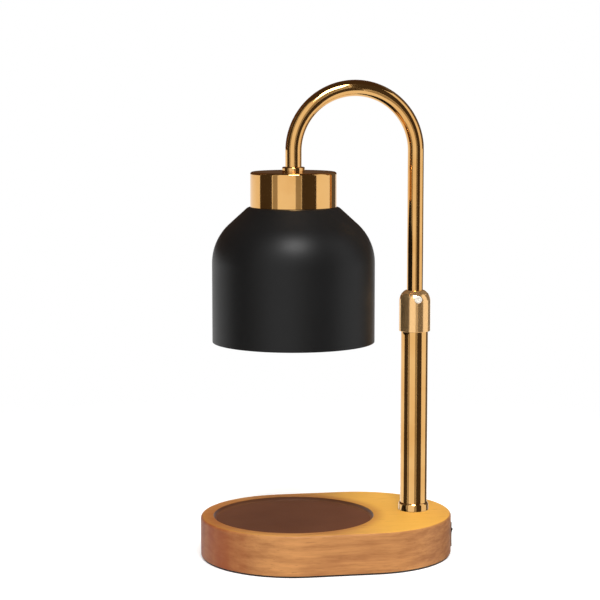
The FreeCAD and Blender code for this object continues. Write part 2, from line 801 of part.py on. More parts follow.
def make_holder_strap():
    """The bent steel strap that hangs from the gooseneck inside the cap and carries the shade."""
    body = new_body("holder_strap")
    sketch = new_sketch(body, "profile", "XZ_Plane", "-strap_width / 2")
    top = "cap_top - cap_wall"
    inner = "strap_half_span - strap_height"
    draw_outline(sketch, [
        ("strap_half_span", "cap_bottom"),
        ("strap_half_span", top),
        ("-strap_half_span", top),
        ("-strap_half_span", "cap_bottom"),
        ("-strap_half_span + strap_foot", "cap_bottom"),
        ("-strap_half_span + strap_foot", "cap_bottom + strap_height"),
        (f"-({inner})", "cap_bottom + strap_height"),
        (f"-({inner})", f"{top} - strap_height"),
        (inner, f"{top} - strap_height"),
        (inner, "cap_bottom + strap_height"),
        ("strap_half_span - strap_foot", "cap_bottom + strap_height"),
        ("strap_half_span - strap_foot", "cap_bottom"),
    ])
    add_feature(body, "Pad", "strap", sketch, "strap_width")
    sketch = new_sketch(body, "hole_outline", "XY_Plane", top)
    draw_circle(sketch, "tube_radius + running_clearance")
    for side in ("", "-"):
        draw_circle(sketch, "holder_screw_radius", f"{side}holder_screw_offset")
    add_feature(body, "Pocket", "top_holes", sketch, "strap_height")
    sketch = new_sketch(body, "foot_hole_outline", "XY_Plane", "cap_bottom + strap_height")
    for side in ("", "-"):
        draw_circle(sketch, "holder_screw_radius", f"{side}shade_screw_offset")
    add_feature(body, "Pocket", "foot_holes", sketch, "strap_height")


def make_tube_fasteners():
    """The star washer and the nut on the threaded end of the gooseneck."""
    bore = value("tube_radius + running_clearance")
    top = value("cap_top - cap_wall - strap_height")
    height = value("star_washer_height")
    centre = Vector(0, 0, top - height)
    washer = rod(value("star_washer_radius"), height, centre).cut(rod(bore, height, centre))
    teeth = 12
    for tooth in range(teeth):
        notch = rod(height, height, centre + Vector(value("star_washer_radius"), 0, 0))
        notch.rotate(Vector(0, 0, 0), Vector(0, 0, 1), tooth * 360 / teeth)
        washer = washer.cut(notch)
    shape_node("star_washer", [washer])
    below = centre - Vector(0, 0, value("tube_nut_height"))
    shape_node("tube_nut", [hexagon(value("tube_nut_flats"), value("tube_nut_height"), below, bore)])


def make_lamp_holder():
    """The ceramic two-pin holder with its screws and spacers."""
    body = new_body("lamp_holder")
    sketch = new_sketch(body, "outline", "XY_Plane", "holder_bottom")
    draw_circle(sketch, "holder_radius")
    for side in ("", "-"):
        draw_circle(sketch, "holder_screw_radius + running_clearance", f"{side}holder_screw_offset")
    add_feature(body, "Pad", "block", sketch, "holder_top - holder_bottom")
    sketch = new_sketch(body, "sink_outline", "XY_Plane", "holder_bottom")
    for side in ("", "-"):
        draw_circle(sketch, "holder_screw_head + screw_clearance", f"{side}holder_screw_offset")
    add_feature(body, "Pocket", "sinks", sketch, "holder_screw_head", reverse=True)
    sketch = new_sketch(body, "contact_outline", "XY_Plane", "holder_bottom")
    for side in ("", "-"):
        draw_circle(sketch, "lamp_pin_head + screw_clearance", "0", f"{side}lamp_pin_offset")
    add_feature(body, "Pocket", "contacts", sketch, "lamp_pin_length + running_clearance", reverse=True)
    rim = value("holder_radius")
    dress_edges(body, "Fillet", "rounding", lambda edge: is_circle(
        edge, rim, value("holder_top")), "edge_round")

    up = Vector(0, 0, 1)
    spacers = []
    screws = []
    for side in (1, -1):
        axis = Vector(side * value("holder_screw_offset"), 0, 0)
        foot = axis + up * value("holder_top")
        height = value("cap_top - cap_wall - strap_height - holder_top")
        bore = rod(value("holder_screw_radius + running_clearance"), height, foot)
        spacers.append(rod(value("spacer_radius"), height, foot).cut(bore))
        head = value("holder_screw_head * 0.7")
        start = axis + up * value("holder_bottom + holder_screw_head * 0.3")
        length = value("cap_top - cap_wall - holder_bottom - holder_screw_head")
        screws.append(cross_screw(value("holder_screw_radius"), value("holder_screw_head"),
                                  length, head, start, up))
    shape_node("holder_spacers", spacers)
    shape_node("holder_screws", screws)


def make_shade_screws():
    """The two screws that hold the neck of the shade to the strap."""
    screws = []
    for side in (1, -1):
        head = value("holder_screw_head * 0.7")
        start = Vector(side * value("shade_screw_offset"), 0, value("cap_bottom - shade_wall") - head)
        screws.append(cross_screw(value("holder_screw_radius"), value("holder_screw_head"),
                                  value("shade_wall + strap_height + 1"), head, start, Vector(0, 0, 1)))
    shape_node("shade_screws", screws)


def make_lamp():
    """The two-pin reflector lamp: neck, reflector, front glass, capsule and pins."""
    top = "holder_bottom - lamp_gap"
    spin_body("lamp_neck", [
        ("0", "lamp_neck_bottom"),
        ("lamp_shoulder_radius", "lamp_neck_bottom"),
        ("lamp_neck_radius", "lamp_neck_bottom + lamp_shoulder_height"),
        ("lamp_neck_radius", top),
        ("0", top),
    ])
    spin_body("lamp_reflector", [
        ("lamp_radius - lamp_wall", "lamp_face"),
        ("lamp_radius", "lamp_face"),
        ("lamp_radius", "lamp_face + lamp_rim_height", "lamp_flare"),
        ("lamp_shoulder_radius", "lamp_neck_bottom"),
        ("lamp_shoulder_radius - lamp_wall", "lamp_neck_bottom", "-lamp_flare"),
        ("lamp_radius - lamp_wall", "lamp_face + lamp_rim_height"),
    ])
    lens = document.addObject("Part::Cylinder", "lamp_lens")
    bind(lens, Radius="lamp_radius - lamp_wall - running_clearance", Height="lamp_glass")
    place(lens, up="lamp_face")
    spin_body("lamp_capsule", [
        ("0", "lamp_neck_bottom - capsule_length", "capsule_radius"),
        ("capsule_radius", "lamp_neck_bottom - capsule_length + capsule_radius"),
        ("capsule_radius", "lamp_neck_bottom"),
        ("0", "lamp_neck_bottom"),
    ])
    pins = []
    for side in (1, -1):
        start = Vector(0, side * value("lamp_pin_offset"), value(top))
        head = start + Vector(0, 0, value("lamp_pin_length - lamp_pin_head"))
        shank = rod(value("lamp_pin_radius"), value("lamp_pin_length - lamp_pin_head"), start)
        pins.append(shank.fuse(rod(value("lamp_pin_head"), value("lamp_pin_head"), head)))
    shape_node("lamp_pins", pins)


def make_switch():
    """The housing of the rocker switch with its flange and blades."""
    body = new_body("switch_body")
    half_width = "switch_width / 2"
    low = "switch_level - switch_height / 2"
    high = "switch_level + switch_height / 2"
    sketch = new_sketch(body, "outline", "YZ_Plane", "base_end")
    draw_rectangle(sketch, half_width, low, high)
    add_feature(body, "Pad", "housing", sketch, "switch_depth", reverse=True)
    sketch = new_sketch(body, "flange_outline", "YZ_Plane", "base_end")
    draw_rectangle(sketch, f"{half_width} + switch_flange", f"{low} - switch_flange",
                   f"{high} + switch_flange")
    add_feature(body, "Pad", "flange", sketch, "switch_flange_height")
    sketch = new_sketch(body, "hollow_outline", "YZ_Plane", "base_end + switch_flange_height")
    draw_rectangle(sketch, f"{half_width} - switch_wall", f"{low} + switch_wall",
                   f"{high} - switch_wall")
    add_feature(body, "Pocket", "hollow", sketch, "switch_depth + switch_flange_height - switch_wall")
    sketch = new_sketch(body, "pivot_outline", "XZ_Plane", f"-{half_width}")
    draw_circle(sketch, "rocker_pin_radius + running_clearance", "base_end - rocker_pivot_depth",
                "switch_level")
    add_feature(body, "Pocket", "pivot_holes", sketch, "switch_width", reverse=True)

    back = value("base_end - switch_depth")
    blades = []
    for side in (1, -1):
        blade = Part.makeBox(value("blade_length"), value("blade_width"), value("blade_thickness"))
        blade.translate(Vector(back - value("blade_length"), -value("blade_width") / 2,
                               value("switch_level") + side * value("core_spread")))
        blades.append(blade)
    shape_node("switch_blades", blades)


def make_rocker():
    """The rocker, with its face dipped in the middle and its upper end standing proud."""
    body = new_body("rocker")
    half_width = "switch_width / 2 - switch_wall - rocker_gap"
    sketch = new_sketch(body, "profile", "XZ_Plane", f"-({half_width})")
    draw_outline(sketch, [
        ("-rocker_body", "-rocker_body / 2"),
        ("rocker_body / 2", "-rocker_half_length"),
        ("rocker_face", "-rocker_half_length"),
        ("rocker_face - rocker_dip", "0"),
        ("rocker_face", "rocker_half_length"),
        ("rocker_body / 2", "rocker_half_length"),
        ("-rocker_body", "rocker_body / 2"),
    ])
    add_feature(body, "Pad", "block", sketch, f"2 * ({half_width})")
    sketch = new_sketch(body, "pin_outline", "XZ_Plane", f"-({half_width}) - rocker_gap - switch_wall / 2")
    draw_circle(sketch, "rocker_pin_radius")
    add_feature(body, "Pad", "pins", sketch, f"2 * ({half_width} + rocker_gap) + switch_wall")
    turn = FreeCAD.Rotation(Vector(0, 1, 0), value("rocker_tilt"))
    pivot = Vector(value("base_end - rocker_pivot_depth"), 0, value("switch_level"))
    body.Placement = FreeCAD.Placement(pivot, turn)
    bind(body, Placement__Base__x="base_end - rocker_pivot_depth", Placement__Base__z="switch_level")


def make_wiring():
    """The terminal block, the cord clamp and the leads in the base and the post."""
    deck = value(DECK_BOTTOM)
    up = Vector(0, 0, 1)
    block = Part.makeBox(value("terminal_length"), value("terminal_width"), value("terminal_height"))
    block.translate(Vector(value("terminal_along - terminal_length"), value("-terminal_width / 2"),
                           deck - value("terminal_height")))
    for step in (-1, 1):
        screw_hole = rod(value("core_radius * 2"), value("terminal_height / 2"),
                         Vector(value("terminal_along - terminal_length / 2"),
                                step * value("core_spread"), deck - value("terminal_height")))
        block = block.cut(screw_hole)
    shape_node("terminal_block", [block])

    cord_level = value("inlet_level")
    bottom = cord_level - value("bushing_bore + clamp_thickness")
    clamp = Part.makeBox(value("clamp_width"), value("clamp_depth"), deck - bottom)
    clamp.translate(Vector(value("inlet_along - clamp_width / 2"), value("clamp_across"), bottom))
    clamp = clamp.cut(rod(value("bushing_bore"), value("clamp_depth"),
                          Vector(value("inlet_along"), value("clamp_across"), cord_level),
                          Vector(0, 1, 0)))
    screws = []
    for side in (1, -1):
        start = Vector(value("inlet_along") + side * value("clamp_screw_offset"),
                       value("clamp_across + clamp_depth / 2"), bottom)
        clamp = clamp.cut(rod(value("clamp_screw_radius + running_clearance"), deck - bottom, start))
        head = value("clamp_screw_head * 0.5")
        clamp = clamp.cut(rod(value("clamp_screw_head + running_clearance"), head, start))
        screws.append(cross_screw(value("clamp_screw_radius"), value("clamp_screw_head"),
                                  deck - bottom - head, head, start, up))
    shape_node("cord_clamp", [clamp])
    shape_node("clamp_screws", screws)

    spread = value("core_spread")
    core = value("core_radius")
    terminal = value("terminal_along") + 2 * core
    mid_level = deck - value("terminal_height / 2")
    blade_middle = value("base_end - switch_depth - blade_length / 2")
    blade_side = value("blade_width / 2") + core
    cores = []
    for side in (1, -1):
        detour = side * value("core_detour")
        level = value("switch_level") + side * spread + core / 2
        cores.append(bent_lead([
            Vector(terminal, side * spread, mid_level),
            Vector(value("arm_reach") - 2 * value("washer_radius"), detour * 0.9, mid_level - core),
            Vector(value("arm_reach"), detour, level),
            Vector(blade_middle - 2 * core, detour * 0.7, level),
            Vector(blade_middle, side * blade_side, level),
        ], core))
    shape_node("switch_leads", cores)

    column = value("arm_reach - lead_offset")
    bend = value("lead_bend")
    low = value("cover_height + grip_height + lead_radius") + core / 2
    start = Vector(value("terminal_along") + core, 0, low)
    corner = Vector(column - bend, 0, low)
    turn = Vector(column, 0, low + bend)
    knee = Vector(column - bend * (1 - math.sin(math.pi / 4)), 0, low + bend * (1 - math.cos(math.pi / 4)))
    route = Part.Wire([
        Part.LineSegment(start, corner).toShape(),
        Part.Arc(corner, knee, turn).toShape(),
        Part.LineSegment(turn, Vector(column, 0, value("slack_top"))).toShape(),
    ])
    profile = Part.Wire(Part.makeCircle(value("lead_radius"), start, Vector(1, 0, 0)))
    shape_node("post_lead", [route.makePipeShell([profile], True, True)])


def build_all():
    """Make every sub-part."""
    make_base()
    make_dish_liner()
    make_bottom_cover()
    make_grip_pad()
    make_cover_screws()
    make_cord_bushing()
    make_post()
    make_post_fasteners()
    make_coupling()
    make_lock_screw()
    make_guide_bush()
    make_gooseneck()
    make_cap()
    make_shade()
    make_holder_strap()
    make_tube_fasteners()
    make_lamp_holder()
    make_shade_screws()
    make_lamp()
    make_switch()
    make_rocker()
    make_wiring()
    document.recompute()


def write_parts():
    """Check every object and write one file for each sub-part."""
    os.makedirs("parts", exist_ok=True)
    for item in document.Objects:
        if "Invalid" in item.State or "Error" in item.State:
            raise RuntimeError(f"{item.Name} is in a bad state: {item.State}")
    made = [item for item in document.Objects
            if item.TypeId in ("PartDesign::Body", "Part::Feature", "Part::Cylinder")]
    for item in made:
        shape = item.Shape
        if shape.isNull() or not shape.isValid() or not shape.Solids:
            raise RuntimeError(f"{item.Label} has no valid solid")
        shape.exportStep(f"parts/{item.Label}.step")
    print(f"{len(made)} parts")


build_all()
write_parts()
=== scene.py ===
import json
import math

import bmesh
import bpy
from bmesh.types import BMEdge, BMVert
from mathutils import Matrix, Vector


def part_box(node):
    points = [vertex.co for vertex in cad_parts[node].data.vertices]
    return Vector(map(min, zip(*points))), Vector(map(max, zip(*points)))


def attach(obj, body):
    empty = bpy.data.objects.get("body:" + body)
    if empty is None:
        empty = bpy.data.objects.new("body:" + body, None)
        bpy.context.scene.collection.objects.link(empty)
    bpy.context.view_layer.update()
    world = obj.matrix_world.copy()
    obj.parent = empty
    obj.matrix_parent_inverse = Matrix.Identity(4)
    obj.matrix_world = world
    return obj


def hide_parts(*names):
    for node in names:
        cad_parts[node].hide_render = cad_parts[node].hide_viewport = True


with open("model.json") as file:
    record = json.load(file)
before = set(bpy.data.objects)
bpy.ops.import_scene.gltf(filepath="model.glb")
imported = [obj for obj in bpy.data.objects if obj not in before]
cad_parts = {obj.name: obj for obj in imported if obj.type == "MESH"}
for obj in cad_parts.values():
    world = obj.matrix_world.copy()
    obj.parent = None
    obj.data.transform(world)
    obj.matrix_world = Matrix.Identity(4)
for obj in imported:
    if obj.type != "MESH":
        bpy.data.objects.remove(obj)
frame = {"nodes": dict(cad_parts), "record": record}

bl_info = {
    "name": "Warmer lamp",
    "version": (1, 0, 0),
    "blender": (4, 5, 0),
    "location": "View3D > Sidebar > Lamp",
    "description": "Dresses the packed lamp with finished pieces, materials and a studio",
    "category": "Object",
}

MM = 0.001
TURN = 2 * math.pi
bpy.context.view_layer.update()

# Steps round the pieces and along their curves
ROUND_STEPS = 128
SHADE_STEPS = 160
LAMP_STEPS = 96
SMALL_STEPS = 48
PIPE_STEPS = 40
ARCH_STEPS = 72
CURVE_STEPS = 14
CORNER_STEPS = 5

# Points this near count as one, in the scene's own meshes and in those of the frame
SAME_POINT = 1e-7
LOOSE_POINT = 1e-6

# Edges sharper than this stay sharp, on new pieces and on nodes of the frame
SHARP_ANGLE = math.radians(35.0)
NODE_SHARP_ANGLE = math.radians(30.0)

WHITE = (1.0, 1.0, 1.0)


def low(node):
    """Return the lowest corner of a CAD node."""
    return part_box(node)[0]


def high(node):
    """Return the highest corner of a CAD node."""
    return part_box(node)[1]


def middle(node):
    """Return the middle of a CAD node's box."""
    return (low(node) + high(node)) / 2


def levels(node):
    """Return the lowest and the highest level of a CAD node."""
    return low(node).z, high(node).z


def half_width(node):
    """Return half the size of a CAD node along X."""
    return (high(node).x - low(node).x) / 2


def half_depth(node):
    """Return half the size of a CAD node along Y."""
    return (high(node).y - low(node).y) / 2


POST_X = middle("post").x
POST_AXIS = (POST_X, 0.0)
BASE_END_RADIUS = half_depth("base_body")
BASE_CENTRE_GAP = 2 * (half_width("base_body") - BASE_END_RADIUS)
WOOD_BOTTOM, WOOD_TOP = levels("base_body")

# The bent tube's radius, and the gap round a piece that another one fits
TUBE_RADIUS = 5.0 * MM
FIT_GAP = 0.05 * MM


class LampSizes(bpy.types.PropertyGroup):
    """Sizes that the finished pieces add to the frame."""

    dish_radius: bpy.props.FloatProperty(
        name="Dish radius", description="Radius of the round dish in the base",
        default=49.7 * MM, unit="LENGTH")
    dish_depth: bpy.props.FloatProperty(
        name="Dish depth", description="Depth of the dish below the top of the base",
        default=3.0 * MM, unit="LENGTH")
    top_round: bpy.props.FloatProperty(
        name="Top rounding", description="Rounding of the upper edge of the base",
        default=1.8 * MM, unit="LENGTH")
    foot_round: bpy.props.FloatProperty(
        name="Foot rounding", description="Rounding of the lower edge of the base",
        default=0.6 * MM, unit="LENGTH")
    dish_cove: bpy.props.FloatProperty(
        name="Dish cove", description="Hollow rounding round the floor of the dish",
        default=1.6 * MM, unit="LENGTH")
    dish_lip: bpy.props.FloatProperty(
        name="Dish lip", description="Rounding of the dish's upper edge",
        default=0.6 * MM, unit="LENGTH")
    edge_round: bpy.props.FloatProperty(
        name="Metal edge", description="Rounding of turned metal edges",
        default=0.35 * MM, unit="LENGTH")
    shade_wall: bpy.props.FloatProperty(
        name="Shade wall", description="Thickness of the spun shade", default=0.9 * MM, unit="LENGTH")
    moulded_round: bpy.props.FloatProperty(
        name="Moulded edge", description="Rounding of the edges of moulded plastic pieces",
        default=0.25 * MM, unit="LENGTH")


class LampColours(bpy.types.PropertyGroup):
    """Colours of the finishes, in linear light."""

    wood_pale: bpy.props.FloatVectorProperty(
        name="Pale wood", description="Colour of the soft early wood", subtype="COLOR",
        default=(0.62, 0.285, 0.090))
    wood_dark: bpy.props.FloatVectorProperty(
        name="Dark wood", description="Colour of the hard late wood", subtype="COLOR",
        default=(0.34, 0.125, 0.038))
    # The red of the plank's left end, also used for the painted shade ring round the dish
    wood_red_and_painted_shade: bpy.props.FloatVectorProperty(
        name="Red wood", description="Colour of the redder end of the plank", subtype="COLOR",
        default=(0.33, 0.066, 0.016))
    # The colour of the warm light painted onto the wood's upper face
    wood_painted_light: bpy.props.FloatVectorProperty(
        name="Golden wood", description="Colour of the sunnier upper face", subtype="COLOR",
        default=(0.90, 0.47, 0.070))
    liner: bpy.props.FloatVectorProperty(
        name="Dish lining", description="Colour of the disc in the dish", subtype="COLOR",
        default=(0.110, 0.036, 0.017))
    brass: bpy.props.FloatVectorProperty(
        name="Brass", description="Colour of the polished metal", subtype="COLOR",
        default=(0.83, 0.48, 0.175))
    shade: bpy.props.FloatVectorProperty(
        name="Shade paint", description="Colour of the satin paint on the shade", subtype="COLOR",
        default=(0.0060, 0.0060, 0.0063))
    shade_inside: bpy.props.FloatVectorProperty(
        name="Shade inside", description="Colour of the paint inside the shade", subtype="COLOR",
        default=(0.78, 0.76, 0.72))
    floor: bpy.props.FloatVectorProperty(
        name="Floor", description="Colour of the studio floor", subtype="COLOR",
        default=(0.93, 0.93, 0.93))


class StudioSettings(bpy.types.PropertyGroup):
    """Camera and light of the studio."""

    focal_pixels: bpy.props.FloatProperty(
        name="Focal length", description="Focal length in pixels of the square picture", default=1860.0)
    distance: bpy.props.FloatProperty(
        name="Distance", description="Level distance from the dish to the camera",
        default=1137.0 * MM, unit="LENGTH")
    height: bpy.props.FloatProperty(
        name="Height", description="Height of the camera over the floor",
        default=293.7 * MM, unit="LENGTH")
    sideways: bpy.props.FloatProperty(
        name="Sideways", description="Shift of the camera to the right",
        default=4.0 * MM, unit="LENGTH")
    pitch: bpy.props.FloatProperty(
        name="Pitch", description="Angle of the camera below the horizon",
        default=0.117, subtype="ANGLE")
    turn: bpy.props.FloatProperty(
        name="Turn", description="Angle of the base to the picture",
        default=math.radians(10.2), subtype="ANGLE")
    world_level: bpy.props.FloatProperty(
        name="World level", description="Strength of the even light from all round",
        default=0.36, min=0.0)
    key_power: bpy.props.FloatProperty(
        name="Key power", description="Power of the large soft light", default=24.0, unit="POWER")
    fill_power: bpy.props.FloatProperty(
        name="Fill power", description="Power of the small soft light", default=3.0, unit="POWER")
    top_power: bpy.props.FloatProperty(
        name="Top power", description="Power of the soft light overhead", default=10.0, unit="POWER")


class Signal:
    """A value socket that can be used in sums."""

    def __init__(self, tree, socket):
        self.tree = tree
        self.socket = socket

    def _math(self, operation, first, second):
        return self.tree.add("ShaderNodeMath", {"operation": operation}, {0: first, 1: second})

    def __add__(self, other):
        return self._math("ADD", self, other)

    def __radd__(self, other):
        return self._math("ADD", other, self)

    def __sub__(self, other):
        return self._math("SUBTRACT", self, other)

    def __rsub__(self, other):
        return self._math("SUBTRACT", other, self)

    def __mul__(self, other):
        return self._math("MULTIPLY", self, other)

    def __rmul__(self, other):
        return self._math("MULTIPLY", other, self)

    def clamped(self):
        """Return the value held between nought and one."""
        return self.tree.add("ShaderNodeMath", {"operation": "ADD", "use_clamp": True},
                             {0: self, 1: 0.0})


class NodeTree:
    """The nodes of a material or of the world."""

    def __init__(self, owner, output_kind):
        owner.use_nodes = True
        self.owner = owner
        self.output_kind = output_kind
        self.nodes = owner.node_tree.nodes
        self.links = owner.node_tree.links
        self.nodes.clear()

    def add(self, kind, settings=None, inputs=None, output=0):
        """Add a node, set it up, feed its sockets and return the wanted output, if it has any."""
        node = self.nodes.new(kind)
        for key, setting in (settings or {}).items():
            setattr(node, key, setting)
        for key, feed in (inputs or {}).items():
            self._feed(node.inputs[key], feed)
        return Signal(self, node.outputs[output]) if node.outputs else None

    def _feed(self, socket, feed):
        if isinstance(feed, Signal):
            self.links.new(feed.socket, socket)
        elif socket.type == "RGBA":
            socket.default_value = (*feed, 1.0)
        else:
            socket.default_value = feed

    def finish(self, shader):
        """Send a shader to the output and return the material or the world."""
        self.add(self.output_kind, {}, {"Surface": shader})
        return self.owner


class Recipe(NodeTree):
    """The nodes of one material, with the steps that several materials share."""

    def __init__(self, name):
        super().__init__(bpy.data.materials.new(name), "ShaderNodeOutputMaterial")

    def place(self, scale=(1.0, 1.0, 1.0), shift=(0.0, 0.0, 0.0), turn=(0.0, 0.0, 0.0)):
        """Return object coordinates, moved, turned and scaled."""
        coordinates = self.add("ShaderNodeTexCoord", output="Object")
        return self.add("ShaderNodeMapping", {}, {
            "Vector": coordinates, "Location": shift, "Rotation": turn, "Scale": scale})

    def noise(self, vector, scale, detail=3.0, roughness=0.6):
        """Return the value of a noise texture."""
        return self.add("ShaderNodeTexNoise", {}, {
            "Vector": vector, "Scale": scale, "Detail": detail, "Roughness": roughness})

    def blend(self, amount, first, second):
        """Return two colours mixed."""
        return self.add("ShaderNodeMix", {"data_type": "RGBA"}, {0: amount, 6: first, 7: second},
                        output=2)

    def span(self, value, first, second):
        """Return how far a value is from a first limit to a second, eased at both."""
        return self.add("ShaderNodeMapRange", {"interpolation_type": "SMOOTHSTEP"}, {
            "Value": value, "From Min": first, "From Max": second})

    def length(self, vector):
        """Return the length of a vector."""
        return self.add("ShaderNodeVectorMath", {"operation": "LENGTH"}, {0: vector}, output="Value")

    def bump(self, height, strength, distance):
        """Return a normal roughened by a height."""
        return self.add("ShaderNodeBump", {}, {
            "Height": height, "Strength": strength, "Distance": distance})

    def surface(self, inputs):
        """Finish the material with a principled shader."""
        return self.finish(self.add("ShaderNodeBsdfPrincipled", {}, inputs))


def colours():
    """Return the scene's colour settings."""
    return bpy.context.scene.lamp_colours


def sizes():
    """Return the scene's size settings."""
    return bpy.context.scene.lamp_sizes


def studio_settings():
    """Return the scene's camera and light settings."""
    return bpy.context.scene.lamp_studio


def scaled(colour, factor):
    """Return a colour with each channel times a factor."""
    return tuple(channel * factor for channel in colour)


# Stretches along X, in metres, over which the wood changes its tone: its left end reddens, painted shade
# darkens both ends, and painted warm light grows and fades on the upper face
LEFT_REDDENS = (-0.026, -0.054)
LEFT_PAINTED_SHADE = (-0.005, -0.050)
RIGHT_PAINTED_SHADE = (0.066, 0.100)
PAINTED_LIGHT_GROWS = (0.015, 0.055)
PAINTED_LIGHT_FADES = (0.075, 0.105)

# The levels between which the side of the wood gives way to its upper face
UPPER_FACE = (WOOD_TOP - 0.6 * MM, WOOD_TOP - 0.1 * MM)

# How far the dish's dark colour reaches past the dish's wall, its soft edge, and how far the painted shade
# ring reaches round the dish
DARK_DISH_REACH = 0.3 * MM
DARK_DISH_EDGE = 0.2 * MM
SHADE_RING_REACH = 9.0 * MM
PORE_COLOUR = (0.17, 0.06, 0.02)


def wood_rings(recipe, plank, sway):
    """Return the growth rings of a plank along X, bent by a slow noise."""
    bend = recipe.add("ShaderNodeCombineXYZ", {}, {"Y": sway * 0.030, "Z": sway * 0.040})
    bent = recipe.add("ShaderNodeVectorMath", {"operation": "ADD"}, {0: plank, 1: bend})
    return recipe.add("ShaderNodeTexWave", {"wave_type": "RINGS", "rings_direction": "X"}, {
        "Vector": bent, "Scale": 38.0, "Distortion": 2.4, "Detail": 3.0,
        "Detail Scale": 2.2, "Detail Roughness": 0.6}, output="Fac")


def plank_colour(recipe, along, streaks):
    """Return the plank's colour: rings, streaks, flecks and patches, painted shade that darkens both ends,
    and a red left end.
    """
    tone = colours()
    plank = recipe.place(scale=(0.16, 1.0, 1.0), shift=(0.0, 0.021, 0.062), turn=(0.03, 0.05, 0.02))
    sway = recipe.noise(plank, 26.0, 2.0, 0.5) - 0.5
    rings = wood_rings(recipe, plank, sway)
    flecks = recipe.noise(recipe.place(scale=(0.16, 0.30, 0.9), turn=(0.0, 0.16, 0.1)), 320.0, 3.0, 0.65)
    patches = recipe.noise(recipe.place(scale=(0.5, 0.5, 0.9)), 30.0, 3.0, 0.55)
    # Painted shade: the plank darkens towards both of its ends
    right_painted_shade = recipe.span(along + sway * 0.02, *RIGHT_PAINTED_SHADE)
    dark = (recipe.span(rings, 0.35, 1.0) * 0.20 + recipe.span(streaks, 0.34, 0.68) * 0.24
            + recipe.span(flecks, 0.38, 0.66) * 0.26 + recipe.span(patches, 0.36, 0.64) * 0.36
            + right_painted_shade * 0.42 + recipe.span(along, *LEFT_PAINTED_SHADE) * 0.22 - 0.10).clamped()
    end_grain = recipe.noise(recipe.place(scale=(1.0, 1.0, 0.16), turn=(0.0, 0.30, 0.0)), 95.0, 2.0, 0.5)
    left_end = recipe.span(along + sway * 0.03, *LEFT_REDDENS)
    red = left_end * (0.56 + recipe.span(end_grain, 0.30, 0.70) * 0.34)
    return recipe.blend(red, recipe.blend(dark, tone.wood_pale, tone.wood_dark), tone.wood_red_and_painted_shade)


def oiled_wood():
    """An oiled plank along X with painted warm light on its upper face, a painted shade ring round the
    dish and a dark dish.
    """
    recipe = Recipe("oiled_wood")
    tone = colours()
    spot = recipe.place()
    along = recipe.add("ShaderNodeSeparateXYZ", {}, {0: spot}, output="X")
    height = recipe.add("ShaderNodeSeparateXYZ", {}, {0: spot}, output="Z")
    level = recipe.add("ShaderNodeVectorMath", {"operation": "MULTIPLY"}, {0: spot, 1: (1.0, 1.0, 0.0)})
    out = recipe.length(level)
    streaks = recipe.noise(recipe.place(scale=(0.06, 0.35, 1.0)), 700.0)
    colour = plank_colour(recipe, along, streaks)

    upper = recipe.span(height, *UPPER_FACE)
    # Painted warm light on the upper face, strongest towards the post
    painted_light_amount = 0.25 + recipe.span(along, *PAINTED_LIGHT_GROWS) * (0.62 - recipe.span(along, *PAINTED_LIGHT_FADES) * 0.22)
    colour = recipe.blend(upper * painted_light_amount, colour, tone.wood_painted_light)

    rim = sizes().dish_radius + DARK_DISH_REACH
    # A painted shade ring darkens the upper face round the dish
    painted_shade_ring = recipe.span(out, rim + SHADE_RING_REACH, rim) * upper
    colour = recipe.blend(painted_shade_ring * 0.42, colour, tone.wood_red_and_painted_shade)
    # The dish's walls are darkened to the lining's colour
    in_dish = recipe.span(out, rim + DARK_DISH_EDGE, rim) * (1 - upper)
    colour = recipe.blend(in_dish * 0.85, colour, tone.liner)

    pores = recipe.span(recipe.noise(recipe.place(scale=(0.05, 0.5, 1.0)), 1500.0, 2.0, 0.6), 0.62, 0.74)
    return recipe.surface({
        "Base Color": recipe.blend(pores * 0.35, colour, PORE_COLOUR),
        "Roughness": 0.46 + streaks * 0.14 + pores * 0.12,
        "Specular IOR Level": 0.30,
        "Normal": recipe.bump(streaks * 0.5 - pores * 0.8, 0.25, 0.12 * MM),
        "Coat Weight": 0.05,
        "Coat Roughness": 0.35,
    })


def dish_lining():
    """A dark brown disc in the dish, with a fine tooth."""
    recipe = Recipe("dish_lining")
    spot = recipe.place()
    fibre = recipe.noise(spot, 900.0, 4.0, 0.65)
    cloud = recipe.noise(spot, 42.0, 3.0, 0.5)
    colour = recipe.blend((cloud * 0.7 + fibre * 0.3).clamped(), colours().liner, (0.175, 0.066, 0.032))
    return recipe.surface({
        "Base Color": colour,
        "Specular IOR Level": 0.12,
        "Roughness": 0.52 + fibre * 0.18,
        "Normal": recipe.bump(fibre, 0.35, 0.10 * MM),
    })


def polished_brass():
    """Warm polished brass with faint polishing lines and a few dull clouds."""
    recipe = Recipe("polished_brass")
    lines = recipe.noise(recipe.place(scale=(1.0, 1.0, 12.0)), 240.0)
    clouds = recipe.noise(recipe.place(), 38.0, 3.0, 0.55)
    warm = colours().brass
    deep = (warm[0] * 0.90, warm[1] * 0.82, warm[2] * 0.70)
    return recipe.surface({
        "Base Color": recipe.blend(recipe.span(clouds, 0.35, 0.75), warm, deep),
        "Metallic": 1.0,
        "Roughness": 0.055 + clouds * 0.03 + lines * 0.02,
    })


def pale_brass():
    """A paler, less metallic copy of the brass for the sleeve, whose extra brightness is painted light
    standing in for its brighter reflections, with faint turning lines.
    """
    recipe = Recipe("pale_brass")
    turning = recipe.noise(recipe.place(scale=(0.4, 0.4, 12.0)), 240.0)
    clouds = recipe.noise(recipe.place(), 60.0, 3.0, 0.55)
    warm = colours().brass
    # This paler colour paints in the sleeve's brighter reflections
    pale = (0.97, 0.60, 0.27)
    return recipe.surface({
        "Base Color": recipe.blend((0.60 + clouds * 0.5).clamped(), warm, pale),
        "Metallic": 0.84,
        "Roughness": 0.13 + clouds * 0.04 + turning * 0.02,
    })


